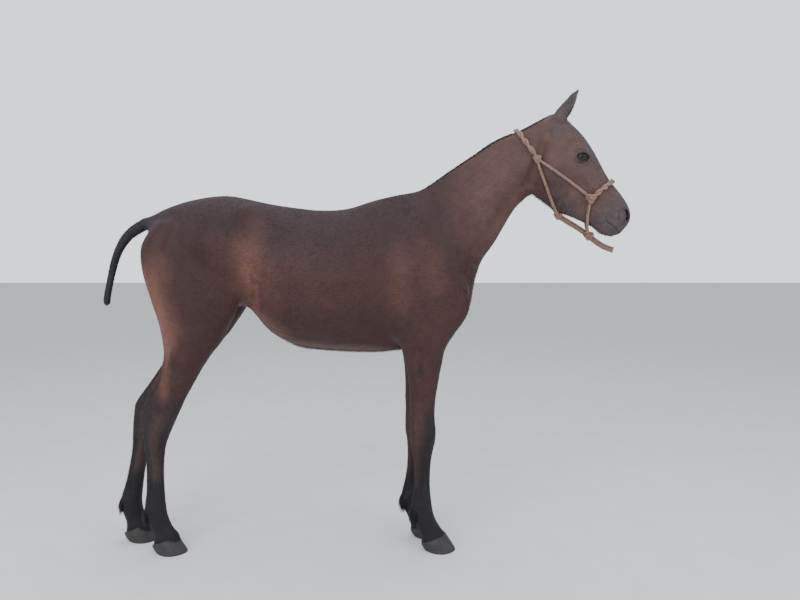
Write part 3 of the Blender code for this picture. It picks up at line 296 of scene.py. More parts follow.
def loft(name, stations, sides=LOFT_SIDES, steps=4):
    """A closed mesh object through the stations, smooth between them and closed at both ends."""
    padded = [stations[0], *stations, stations[-1]]
    sections = []
    for before, start, end, after in zip(padded, padded[1:], padded[2:], padded[3:]):
        sections += [section(Station(*spline(before, start, end, after, step / steps)), sides)
                     for step in range(steps)]
    sections.append(section(stations[-1], sides))
    mesh = bmesh.new()
    rings = [[mesh.verts.new(point) for point in points] for points in sections]
    return tube(name, mesh, rings)


# Hollows (negative) and swellings (positive) of the surface, as (points, reach, depth), where
# the points are (x, z) seen from the side. Both sides of the body get them.
RELIEF = [
    ([(0.095, 1.440), (0.170, 1.290), (0.262, 1.090)], 0.055, -0.007),  # before the shoulder blade
    ([(0.045, 1.400), (0.120, 1.240), (0.205, 1.090)], 0.050, 0.005),  # shoulder blade
    ([(-0.030, 1.390), (-0.045, 1.200), (-0.055, 1.000)], 0.085, -0.0045),  # behind the shoulder
    ([(0.050, 1.180), (0.020, 1.060), (0.000, 0.970)], 0.075, 0.010),  # upper arm
    ([(-0.008, 0.900)], 0.055, 0.004),  # elbow
    ([(0.262, 1.040)], 0.060, 0.007),  # point of shoulder
    ([(0.505, 1.510), (0.400, 1.380), (0.290, 1.190)], 0.036, -0.007),  # jugular groove
    ([(0.500, 1.640), (0.340, 1.520), (0.190, 1.390)], 0.055, -0.004),  # along the neck
    ([(0.490, 1.575), (0.350, 1.430)], 0.050, 0.004),
    ([(-0.580, 1.310), (-0.590, 1.240), (-0.600, 1.150)], 0.110, -0.009),  # flank
    ([(-0.622, 1.375)], 0.060, 0.013),  # point of hip
    ([(-0.350, 1.200), (-0.300, 1.000)], 0.150, 0.006),  # barrel
    ([(-0.905, 1.350), (-0.955, 1.180), (-0.940, 0.960)], 0.036, -0.006),  # hamstring
    ([(-0.780, 1.330), (-0.815, 1.130), (-0.800, 0.950)], 0.050, -0.006),
    ([(-0.700, 0.960)], 0.060, 0.006),  # stifle
    ([(-0.920, 0.850), (-0.955, 0.760), (-1.002, 0.655)], 0.026, -0.009),  # before the tendon
    ([(-0.855, 0.790), (-0.908, 0.690)], 0.035, 0.004),  # gaskin
    ([(-0.975, 0.540), (-0.990, 0.490)], 0.035, 0.005),  # hock
    ([(-1.008, 0.430), (-1.010, 0.330), (-1.009, 0.220)], 0.012, -0.005),
    ([(0.078, 0.430), (0.083, 0.320), (0.080, 0.210)], 0.012, -0.005),  # before the tendons
    ([(0.120, 0.830), (0.105, 0.680)], 0.035, 0.004),  # forearm
    ([(0.075, 0.830), (0.082, 0.680), (0.085, 0.570)], 0.022, -0.005),
    ([(0.052, 0.515)], 0.024, 0.006),  # back of the knee
    ([(0.105, 0.480)], 0.030, 0.003),
    ([(0.060, 0.170)], 0.022, 0.004),
    ([(-1.028, 0.175)], 0.022, 0.004),
    ([(0.610, 1.535)], 0.085, 0.007),  # cheek
    ([(0.590, 1.690), (0.552, 1.600), (0.520, 1.500)], 0.026, -0.009),  # behind the jaw
    ([(0.728, 1.535), (0.760, 1.490), (0.792, 1.455)], 0.022, 0.006),  # cheek bone
    ([(0.698, 1.622), (0.722, 1.636), (0.750, 1.622)], 0.016, 0.004),  # brow
    ([(0.700, 1.500), (0.672, 1.440)], 0.026, -0.005),
    ([(0.800, 1.545), (0.822, 1.510), (0.850, 1.455)], 0.028, -0.008),  # beside the nose bone
    ([(0.690, 1.648)], 0.030, -0.009),  # above the eye
    ([(0.770, 1.420), (0.730, 1.400)], 0.030, -0.004),  # bars of the jaw
    ([(0.886, 1.396), (0.876, 1.366), (0.884, 1.342)], 0.018, 0.007),  # nostril
    ([(0.812, 1.316)], 0.030, 0.005),  # chin
    ([(0.800, 1.362), (0.830, 1.380)], 0.030, 0.003),  # upper lip
]

SEAMS = [  # where a leg runs into the trunk, and how far it is made smooth
    ([(0.270, 1.220), (0.285, 1.050), (0.240, 0.930), (0.180, 0.860)], 0.080),
    ([(0.160, 1.260), (0.020, 1.250), (-0.050, 1.080), (-0.040, 0.930), (-0.010, 0.880)], 0.080),
    ([(-0.740, 1.345), (-0.680, 1.230), (-0.645, 1.070), (-0.640, 0.970)], 0.090),
    ([(-1.000, 1.345), (-0.950, 1.345), (-0.900, 1.350)], 0.050),
    ([(-0.060, 0.880), (-0.020, 0.870)], 0.050),
]

EAR = [  # the middle of the ear, its reach across and fore and aft
    ((0.632, 0.047, 1.742), 0.026, 0.028),
    ((0.645, 0.049, 1.762), 0.028, 0.0310),
    ((0.665, 0.051, 1.786), 0.0275, 0.0280),
    ((0.683, 0.050, 1.812), 0.024, 0.0232),
    ((0.693, 0.046, 1.834), 0.016, 0.0165),
    ((0.702, 0.042, 1.851), 0.007, 0.0075),
    ((0.707, 0.041, 1.859), 0.002, 0.0025),
]

EAR_ROOT = (0.646, 0.048, 1.763)  # the ear runs softly into the poll round this place

# Finer forms of the skin, as the hollows and swellings above: veins, wrinkles and folds.
FINE = [
    ([(0.692, 1.612), (0.705, 1.621), (0.722, 1.624), (0.742, 1.617)], 0.0050, -0.0028),
    ([(0.688, 1.628), (0.714, 1.639), (0.746, 1.632)], 0.0070, -0.0020),  # folds over the eye
    ([(0.698, 1.573), (0.718, 1.568), (0.740, 1.574)], 0.0050, -0.0018),  # folds under the eye
    ([(0.692, 1.560), (0.718, 1.553), (0.748, 1.560)], 0.0060, -0.0012),
    ([(0.748, 1.590), (0.760, 1.578), (0.768, 1.560)], 0.0060, -0.0014),  # corner of the eye
    ([(0.735, 1.545), (0.765, 1.507), (0.800, 1.465)], 0.0080, 0.0016),  # edge of the cheek bone
    ([(0.768, 1.545), (0.790, 1.505), (0.815, 1.480)], 0.0040, 0.0013),  # vein on the face
    ([(0.790, 1.505), (0.805, 1.515), (0.822, 1.505)], 0.0030, 0.0010),
    ([(0.700, 1.480), (0.730, 1.455), (0.760, 1.440)], 0.0050, 0.0010),
    ([(0.858, 1.402), (0.866, 1.378), (0.866, 1.350)], 0.0060, -0.0016),  # behind the nostril
    ([(0.846, 1.396), (0.852, 1.372), (0.852, 1.350)], 0.0055, -0.0010),
    ([(0.836, 1.362), (0.852, 1.350), (0.864, 1.336)], 0.0050, -0.0012),  # above the mouth
    ([(0.823, 1.356), (0.838, 1.345), (0.853, 1.333), (0.867, 1.320)], 0.0050, 0.0014),
    ([(0.818, 1.340), (0.838, 1.327), (0.853, 1.315), (0.864, 1.303)], 0.0060, 0.0016),  # lower lip
    ([(0.806, 1.336), (0.800, 1.328)], 0.0060, -0.0012),
    ([(0.560, 1.560), (0.580, 1.500), (0.615, 1.450)], 0.0090, 0.0022),  # edge of the jaw
    ([(-0.560, 0.960), (-0.480, 0.905), (-0.380, 0.880)], 0.0220, -0.0020),  # flank fold
    ([(-0.150, 0.900), (-0.250, 0.880), (-0.350, 0.890)], 0.0070, 0.0014),  # vein of the belly
    ([(-0.250, 1.330), (-0.300, 1.150), (-0.350, 0.950)], 0.0180, -0.0011),  # between ribs
    ([(-0.310, 1.330), (-0.360, 1.150), (-0.410, 0.970)], 0.0180, -0.0012),
    ([(-0.370, 1.330), (-0.420, 1.160), (-0.460, 1.000)], 0.0180, -0.0012),
    ([(-0.430, 1.330), (-0.480, 1.190), (-0.510, 1.060)], 0.0180, -0.0011),
    ([(0.120, 0.800), (0.128, 0.700), (0.110, 0.600)], 0.0060, 0.0012),  # vein of the forearm
    ([(-0.880, 0.740), (-0.930, 0.640), (-0.960, 0.560)], 0.0060, 0.0014),  # vein of the gaskin
    ([(0.089, 0.520), (0.120, 0.505)], 0.0070, -0.0010),  # bones of the knee
    ([(0.080, 0.475), (0.118, 0.470)], 0.0070, -0.0010),
    ([(-0.940, 0.545), (-0.975, 0.520), (-0.960, 0.470)], 0.0070, -0.0012),  # bones of the hock
    ([(0.088, 0.430), (0.093, 0.320), (0.090, 0.230)], 0.0050, 0.0014),  # tendons
    ([(0.064, 0.430), (0.067, 0.320), (0.062, 0.230)], 0.0060, 0.0016),
    ([(-0.990, 0.430), (-0.992, 0.330), (-0.992, 0.230)], 0.0050, 0.0014),
    ([(-1.026, 0.430), (-1.028, 0.330), (-1.030, 0.230)], 0.0060, 0.0016),
]


def new_object(name, mesh):
    """An object with this bmesh, which it frees."""
    data = bpy.data.meshes.new(name)
    mesh.to_mesh(data)
    mesh.free()
    return linked(name, data)


def linked(name, data):
    obj = bpy.data.objects.new(name, data)
    bpy.context.scene.collection.objects.link(obj)
    return obj


def remove(*objects):
    for obj in objects:
        bpy.data.objects.remove(obj)


def apply_modifiers(obj):
    graph = bpy.context.evaluated_depsgraph_get()
    mesh = bpy.data.meshes.new_from_object(obj.evaluated_get(graph))
    obj.modifiers.clear()
    obj.data = mesh
    return obj


def boolean(obj, other, operation):
    """Joins or cuts, and removes the other object."""
    modifier = obj.modifiers.new(operation.title(), "BOOLEAN")
    modifier.operation = operation
    modifier.solver = "MANIFOLD"
    modifier.object = other
    apply_modifiers(obj)
    remove(other)
    return obj


def joined(name, pieces):
    """One mesh object with the faces of all the pieces, which may cross each other."""
    mesh = bmesh.new()
    for piece in pieces:
        mesh.from_mesh(piece.data)
    obj = new_object(name, mesh)
    remove(*pieces)
    obj.name = name
    return obj


def lump(name, centre, radii, lean=0.0, fineness=4):
    """An ellipsoid. lean turns it about the y axis, in degrees."""
    mesh = bmesh.new()
    bmesh.ops.create_icosphere(mesh, subdivisions=fineness, radius=1)
    bmesh.ops.scale(mesh, verts=mesh.verts, vec=radii)
    bmesh.ops.rotate(mesh, verts=mesh.verts, matrix=Matrix.Rotation(math.radians(lean), 3, "Y"))
    bmesh.ops.translate(mesh, verts=mesh.verts, vec=centre)
    return new_object(name, mesh)


def values(items, what, kind, width):
    """A numpy array of one property of all the items of a mesh."""
    found = np.empty(len(items) * width, kind)
    items.foreach_get(what, found)
    return found.reshape(-1, width) if width > 1 else found


def points_of(obj):
    return values(obj.data.vertices, "co", np.float32, 3).astype(float)


def normals_of(obj):
    return values(obj.data.vertices, "normal", np.float32, 3).astype(float)


def set_points(obj, points):
    obj.data.vertices.foreach_set("co", points.astype(np.float32).ravel())
    obj.data.update()


def evened(obj, rows, share, rounds):
    """Rows of numbers at the vertices, each drawn towards its neighbours' mean by its share."""
    edges = values(obj.data.edges, "vertices", np.int32, 2)
    first, second = edges.T
    count = np.bincount(edges.ravel(), minlength=len(rows))[:, None]
    for _ in range(rounds):
        total = np.stack([
            np.bincount(first, row[second], len(rows)) + np.bincount(second, row[first], len(rows))
            for row in rows.T], 1)
        rows = rows + (total / count - rows) * share[:, None]
    return rows


def smooth(obj, share, rounds):
    set_points(obj, evened(obj, points_of(obj), share, rounds))


def between(value, start, end):
    """0 before start and 1 after end, with a smooth step between them."""
    share = np.clip((value - start) / (end - start), 0, 1)
    return share * share * (3 - 2 * share)


def unit(ways):
    return ways / np.linalg.norm(ways, axis=1)[:, None]


def from_line(points, x, z):
    """The distance from each (x, z) to the line through the points."""
    if len(points) == 1:
        return np.hypot(x - points[0][0], z - points[0][1])
    nearest = np.full(len(x), 1e9)
    for (ax, az), (bx, bz) in zip(points, points[1:]):
        dx, dz = bx - ax, bz - az
        share = np.clip(((x - ax) * dx + (z - az) * dz) / (dx * dx + dz * dz), 0, 1)
        nearest = np.minimum(nearest, np.hypot(x - ax - dx * share, z - az - dz * share))
    return nearest


def table_at(table, heights):
    """What rows of (height, value) from top to bottom say at each height."""
    rows = np.array(table[::-1])
    return np.interp(heights, rows[:, 0], rows[:, 1])


def edge_at(stations, edge, x):
    """The height of the sections' upper or lower ends at each x."""
    ends = np.array([getattr(station, edge) for station in stations])
    return np.interp(x, ends[:, 0], ends[:, 1])


def unshifted(points):
    """x of each place, as if the left legs stood where the right ones stand."""
    x, y, z = points.T
    back_by = np.where(x < HIND_FROM, table_at(HIND_STRIDE, z), table_at(FORE_STRIDE, z))
    return np.where(y > 0, x - back_by, x)


def carve(obj, table):
    """Moves the surface in and out as the table says, but leaves the outline from the side."""
    points, normals = points_of(obj), normals_of(obj)
    x, z = unshifted(points), points[:, 2]
    facing = between(np.abs(normals[:, 1]), 0.08, 0.75)
    for line, reach, depth in table:
        away = from_line(line, x, z) / reach
        points += normals * (depth * facing * np.clip(1 - away * away, 0, 1) ** 2)[:, None]
    set_points(obj, points)


def refine(obj, wanted):
    """Splits the edges of the wanted faces in two. wanted takes an array of face middles."""
    flags = wanted(values(obj.data.polygons, "center", np.float32, 3).astype(float))
    mesh = bmesh.new()
    mesh.from_mesh(obj.data)
    mesh.faces.ensure_lookup_table()
    edges = {edge for index in np.flatnonzero(flags) for edge in mesh.faces[index].edges}
    bmesh.ops.subdivide_edges(mesh, edges=list(edges), cuts=1, use_grid_fill=True)
    bmesh.ops.triangulate(mesh, faces=[face for face in mesh.faces if len(face.verts) > 3])
    mesh.to_mesh(obj.data)
    mesh.free()


def whole_body():
    """Her body in one closed mesh, with a straight neck."""
    pieces = [loft("trunk", TRUNK), loft("skull", HEAD), loft("dock", TAIL)]
    for side in (-1, 1):
        pieces.append(loft("fore", leg_stations(FORELEG, side, FORE_STRIDE, [(0.0, 0.0)])))
        pieces.append(loft("hind", leg_stations(HINDLEG, side, HIND_STRIDE, HIND_SWAY)))
        eye = EYE_CENTRE
        pieces.append(lump("orbit", (eye.x - 0.003, side * (eye.y - 0.014), eye.z + 0.006),
                           (0.050, 0.034, 0.038), 35))
        pieces.append(lump("lids", (eye.x, side * eye.y, eye.z), (LID_RADIUS,) * 3))
        pieces.append(lump("ear_root", (0.638, side * 0.045, 1.748), (0.033, 0.028, 0.030), 20))
        pieces.append(lump("muzzle", (0.880, side * 0.030, 1.372), (0.030, 0.028, 0.036), 20))
    body = joined("body", pieces)
    remesh = body.modifiers.new("Remesh", "REMESH")
    remesh.mode = "VOXEL"
    remesh.voxel_size = VOXEL
    apply_modifiers(body)
    points = points_of(body)
    fixed = (points[:, 0] > 0.60) | (points[:, 2] < 0.62)
    half = (points[:, 0] > 0.45) | (points[:, 2] < 0.80) | (points[:, 0] < -1.05)
    share = np.where(fixed, 0.07, np.where(half, 0.22, 0.50))
    smooth(body, share, 28)
    x, z = unshifted(points), points[:, 2]
    seams = np.zeros(len(points))
    for line, reach in SEAMS:
        seams = np.maximum(seams, np.clip(1.5 - 1.5 * from_line(line, x, z) / reach, 0, 1))
    smooth(body, 0.5 * seams, 60)
    # Smoothing draws the rounded forms in, so they are put back, without the creases.
    normals = normals_of(body)
    lost = np.sum((points - points_of(body)) * normals, axis=1)[:, None]
    lost = evened(body, lost, np.full(len(points), 0.5), 80)
    set_points(body, points_of(body) + normals * lost)
    carve(body, RELIEF)
    smooth(body, share, 2)
    thin = body.modifiers.new("Thin", "DECIMATE")
    thin.ratio = SKIN_TRIANGLES / (2 * len(body.data.polygons))
    thin.use_collapse_triangulate = True
    return apply_modifiers(body)


def near_eye(middles, reach):
    """Which places are nearer than reach to the middle of an eye."""
    x, y, z = middles.T
    places = np.stack([x, np.abs(y), z], 1)
    return np.linalg.norm(places - np.array(EYE_CENTRE), axis=1) < reach


def near_muzzle(middles):
    """Which places lie before a slanted line behind the muzzle. It runs on down to the floor, so
    the fore feet may lie before it too."""
    return middles[:, 0] - 0.7 * middles[:, 2] > 0.800 - 0.7 * 1.340


def fine_body():
    """The body with a finer mesh on the head and finer forms."""
    body = whole_body()
    refine(body, lambda middles: middles[:, 0] > 0.575)
    refine(body, lambda middles: near_eye(middles, 0.060) | near_muzzle(middles))
    refine(body, lambda middles: near_eye(middles, 0.038))
    points = points_of(body)
    smooth(body, np.where(points[:, 0] > 0.58, 0.35, 0.0), 3)
    carve(body, FINE)
    return body


NOSTRIL_LINE = [  # (x, z) and half the opening's width
    ((0.8890, 1.3905), 0.0010), ((0.8945, 1.3890), 0.0035), ((0.8995, 1.3845), 0.0058),
    ((0.9030, 1.3765), 0.0070), ((0.9045, 1.3675), 0.0070), ((0.9035, 1.3590), 0.0058),
    ((0.9005, 1.3520), 0.0036), ((0.8980, 1.3475), 0.0012)]
MOUTH = [(0.823, 1.349), (0.838, 1.337), (0.853, 1.325), (0.867, 1.312), (0.877, 1.301)]
MOUTH_FRONT = (0.888, 1.297)
NOSTRIL_DEPTH = 0.016
LID_OPENING = (0.0240, 0.0150, 0.0145)  # half its length, and its reach above and below


def dense(points, steps):
    """More points on the smooth curve through the points."""
    found = []
    for before, start, end, after in zip([points[0], *points], points, points[1:],
                                         [*points[2:], points[-1]]):
        for step in range(steps):
            found.append(Vector(spline(tuple(before), tuple(start), tuple(end), tuple(after),
                                       step / steps)))
    return [*found, Vector(points[-1])]


def axes(course, i, way, closed=False):
    """Two unit vectors square to the course at its place i, the first as near to way as it can."""
    if closed:
        ahead = (course[(i + 1) % len(course)] - course[i - 1]).normalized()
    else:
        ahead = (course[min(i + 1, len(course) - 1)] - course[max(i - 1, 0)]).normalized()
    first = (way - ahead * way.dot(ahead)).normalized()
    return first, ahead.cross(first)


def sweep(name, centres, radii, sides, across=Vector((0, 1, 0)), closed=False):
    """A tube along the centres. radii holds, for each, its radius along and over across."""
    mesh = bmesh.new()
    rings = []
    for i, (centre, (wide, thick)) in enumerate(zip(centres, radii)):
        way = across[i] if isinstance(across, list) else across
        first, second = axes(centres, i, way, closed)
        ring = []
        for side in range(sides):
            angle = 2 * math.pi * (side + 0.5) / sides
            ring.append(mesh.verts.new(
                centre + first * wide * math.cos(angle) + second * thick * math.sin(angle)))
        rings.append(ring)
    return tube(name, mesh, rings, closed)


def surface_of(obj):
    return BVHTree.FromPolygons([vertex.co for vertex in obj.data.vertices],
                                [polygon.vertices for polygon in obj.data.polygons])


def eye_frame(side):
    """The middle of an eye, and the turn of its opening, whose y axis points outwards."""
    centre = Vector((EYE_CENTRE.x, side * EYE_CENTRE.y, EYE_CENTRE.z))
    return centre, Matrix.Rotation(math.radians(-20 * side), 3, "Z")


def lid_outline(count):
    """The almond between the lids, seen along the y axis of the eye's frame."""
    half_length, above, below = LID_OPENING
    tilt = Matrix.Rotation(math.radians(10), 3, "Y")
    outline = []
    for step in range(count):
        angle = 2 * math.pi * step / count
        forward, up = math.cos(angle), math.sin(angle)
        open_by = above if up > 0 else below
        outline.append(tilt @ Vector((half_length * forward, 0, open_by * raised(up, 1.25))))
    return outline


def lid_edge(side, count, radius):
    """The edge of the opening, on a ball of this radius round the middle of the eye."""
    centre, facing = eye_frame(side)
    places = []
    for point in lid_outline(count):
        out = math.sqrt(radius ** 2 - point.length_squared)
        places.append(centre + facing @ (point + Vector((0, side * out, 0))))
    return places


def cut_eyes(head):
    """Cuts the opening between the lids, and the socket, of each eye."""
    for side in (-1, 1):
        centre, facing = eye_frame(side)
        outline = lid_outline(48)
        mesh = bmesh.new()
        inner = [mesh.verts.new(centre + facing @ point) for point in outline]
        outer = [mesh.verts.new(centre + facing @ (point * 1.25 + Vector((0, side * 0.04, 0))))
                 for point in outline]
        mesh.faces.new(inner)
        mesh.faces.new(outer)
        for i in range(len(outline)):
            j = (i + 1) % len(outline)
            mesh.faces.new((inner[i], inner[j], outer[j], outer[i]))
        bmesh.ops.recalc_face_normals(mesh, faces=mesh.faces)
        boolean(head, new_object("opening", mesh), "DIFFERENCE")
        boolean(head, lump("socket", centre, (SOCKET_RADIUS,) * 3), "DIFFERENCE")


def cut_muzzle(head):
    """Cuts the nostrils and the line of the mouth."""
    surface = surface_of(head)
    line = [surface.ray_cast(Vector((x, 0.3, z)), Vector((0, -1, 0)))[0] for x, z in MOUTH]
    front = surface.ray_cast(Vector((MOUTH_FRONT[0] + 0.05, 0, MOUTH_FRONT[1] - 0.03)),
                             Vector((-0.05, 0, 0.03)).normalized())[0]
    half_way = line[-1].lerp(front, 0.55) + Vector((0.004, 0.004, -0.002))
    right = [Vector((p.x, -p.y, p.z)) for p in line + [half_way]]
    path = dense(right + [front] + [half_way] + line[::-1], 6)
    count = len(path)
    radii = [(0.0026, 0.0010 * min(1, 0.3 + 6 * min(i, count - 1 - i) / count))
             for i in range(count)]
    centre = Vector((0.80, 0, 1.33))
    inward = [(centre - place).normalized() for place in path]
    boolean(head, sweep("groove", path, radii, 10, inward), "DIFFERENCE")
    for side in (-1, 1):
        course, widths = [], []
        for (x, z), half in NOSTRIL_LINE:
            hit = surface.ray_cast(Vector((x, side * 0.3, z)), Vector((0, -side, 0)))[0]
            course.append(Vector((x, hit.y - side * 0.004, z)))
            widths.append((half, 0, 0))
        radii = [(NOSTRIL_DEPTH, wide.x) for wide in dense(widths, 5)]
        boolean(head, sweep("nostril", dense(course, 5), radii, 20), "DIFFERENCE")


def make_ear(side):
    """A cupped ear that opens to the front and a little to the side."""
    table = [(x, side * y, z, across, deep) for (x, y, z), across, deep in EAR]
    padded = [table[0], *table, table[-1]]
    rows = []
    for four in zip(padded, padded[1:], padded[2:], padded[3:]):
        rows += [spline(*four, step / 5) for step in range(5)]
    rows.append(table[-1])
    centres = [Vector(row[:3]) for row in rows]
    ear = sweep("ear", centres, [(max(row[3], 0.001), max(row[4], 0.001)) for row in rows], 36)
    open_way = Vector((0.92, side * 0.06, -0.35)).normalized()
    hollow, radii = [], []
    start, end = 4, len(rows) - 4
    for i in range(start, end):
        share = (i - start) / (end - 1 - start)
        size = 0.80 * min(1.0, 0.45 + share * 4) * min(1.0, 0.55 + (1 - share) * 3)
        hollow.append(centres[i] + open_way * rows[i][4] * 0.66)
        radii.append((rows[i][3] * size, rows[i][4] * size * 1.30))
    return boolean(ear, sweep("hollow", hollow, radii, 36), "DIFFERENCE")


def make_skin(body):
    """The skin with ears, eye openings, nostrils and mouth."""
    for side in (-1, 1):
        boolean(body, make_ear(side), "UNION")
    x, y, z = points_of(body).T
    from_root = np.sqrt((x - EAR_ROOT[0]) ** 2 + (np.abs(y) - EAR_ROOT[1]) ** 2
                        + (z - EAR_ROOT[2]) ** 2)
    smooth(body, 0.6 * between(-from_root, -0.042, -0.026) * between(-z, -1.790, -1.768), 24)
    cut_eyes(body)
    cut_muzzle(body)
    return body


# Colours of the coat and skin, linear
BAY = (0.049, 0.0226, 0.0218)
# the darker back, with the bluish tint of painted sky sheen
BACK = (0.029, 0.0165, 0.0190)
DARK_BAY = (0.033, 0.0160, 0.0168)
TAN = (0.195, 0.090, 0.064)
WARM = (0.114, 0.050, 0.040)
NECK = (0.084, 0.0440, 0.0400)
FACE = (0.090, 0.0550, 0.0500)
JAW = (0.054, 0.0380, 0.0400)
SMOKE = (0.067, 0.0540, 0.0590)
BLACK = (0.012, 0.0112, 0.0140)
SOOT = (0.026, 0.0195, 0.0210)
# the belly's paler hair, made paler still as painted backlight
PALE_AND_BACKLIT = (0.150, 0.100, 0.082)
STREAK = (0.160, 0.100, 0.084)
CANNON = (0.050, 0.0310, 0.0270)
GREY_SKIN = (0.042, 0.036, 0.039)
SLATE = (0.029, 0.0270, 0.0315)
INNER_EAR = (0.180, 0.145, 0.130)

# Soft streaks of another tone on the coat, some of them painted shade and one a painted highlight:
# the tone, the line, how far it reaches and its strength
SHADES = [
    (DARK_BAY, [(-0.40, 0.90), (-0.20, 0.88), (0.0, 0.90)], 0.130, 0.30),  # painted shade under the ribs, on the underside of the barrel
    (DARK_BAY, [(-0.80, 1.25), (-0.78, 1.05), (-0.76, 0.90)], 0.130, 0.80),  # thigh
    (DARK_BAY, [(-0.45, 1.32), (-0.20, 1.30)], 0.110, 0.35),
    (WARM, [(-0.575, 1.33), (-0.590, 1.22), (-0.600, 1.10), (-0.580, 0.96)], 0.082, 0.68),  # flank
    (TAN, [(-0.590, 1.15), (-0.585, 1.02)], 0.045, 0.25),
    (TAN, [(-0.585, 1.16), (-0.592, 1.04)], 0.011, 0.35),  # painted light and shade of the wrinkles of the flank: tan on the ridges, dark in the creases
    (DARK_BAY, [(-0.572, 1.14), (-0.578, 1.02)], 0.009, 0.50),
    (TAN, [(-0.556, 1.13), (-0.562, 1.01)], 0.011, 0.30),
    (DARK_BAY, [(-0.543, 1.11), (-0.549, 1.00)], 0.009, 0.50),
    (WARM, [(-0.515, 1.130), (-0.500, 1.030)], 0.080, 0.32),
    (TAN, [(-0.575, 0.975), (-0.480, 0.905)], 0.050, 0.26),
    (BACK, [(-0.760, 1.350), (-0.640, 1.330)], 0.085, 0.60),  # hip
    (SLATE, [(0.010, 1.420), (0.030, 1.330)], 0.075, 0.38),  # shoulder: painted shade where the neck meets the shoulder, in slate
    # painted shade in the groove before the shoulder blade
    (BACK, [(0.145, 1.400), (0.185, 1.300), (0.225, 1.170)], 0.055, 0.55),
    (WARM, [(0.0, 1.220), (0.0, 1.040)], 0.070, 0.30),
    (WARM, [(0.100, 1.240), (0.130, 1.100)], 0.080, 0.22),
    (WARM, [(-0.945, 1.165), (-0.950, 1.050), (-0.900, 0.930)], 0.085, 0.60),  # buttock
    (TAN, [(-1.010, 1.105), (-0.975, 0.980), (-0.940, 0.870)], 0.085, 0.70),
    (TAN, [(-0.930, 0.860), (-0.936, 0.740), (-0.942, 0.640)], 0.034, 0.40),  # gaskin: a painted highlight in tan down its edge
    (SOOT, [(-0.990, 0.730), (-1.008, 0.640), (-1.018, 0.570)], 0.034, 0.80),
]

FACE_SHADES = [
    (SMOKE, [(0.650, 1.768), (0.740, 1.680), (0.800, 1.585), (0.850, 1.500)], 0.038, 0.75),
    (WARM, [(0.600, 1.640), (0.622, 1.580)], 0.055, 0.40),  # behind the eye
    (JAW, [(0.575, 1.480), (0.610, 1.425), (0.680, 1.395)], 0.058, 0.80),
    (JAW, [(0.612, 1.520), (0.640, 1.480)], 0.040, 0.35),
    (STREAK, [(0.583, 1.745), (0.590, 1.670)], 0.018, 0.60),  # behind the ear
    # painted shadow that the ear casts on the poll below it
    (SMOKE, [(0.612, 1.735), (0.640, 1.690)], 0.035, 0.50),
    (FACE, [(0.735, 1.545), (0.765, 1.507), (0.800, 1.465)], 0.014, 0.60),
]

BELLY_LINE = [(-0.56, 0.94), (-0.45, 0.86), (-0.30, 0.83), (-0.05, 0.82)]


def blend(colour, other, share):
    return colour + (np.array(other) - colour) * np.clip(share, 0, 1)[:, None]


def patch(x, z, line, reach, strength=1.0):
    """How strongly a soft streak along the line, seen from the side, is felt at each place."""
    away = from_line(line, x, z) / reach
    return strength * np.clip(1 - away * away, 0, 1) ** 1.5


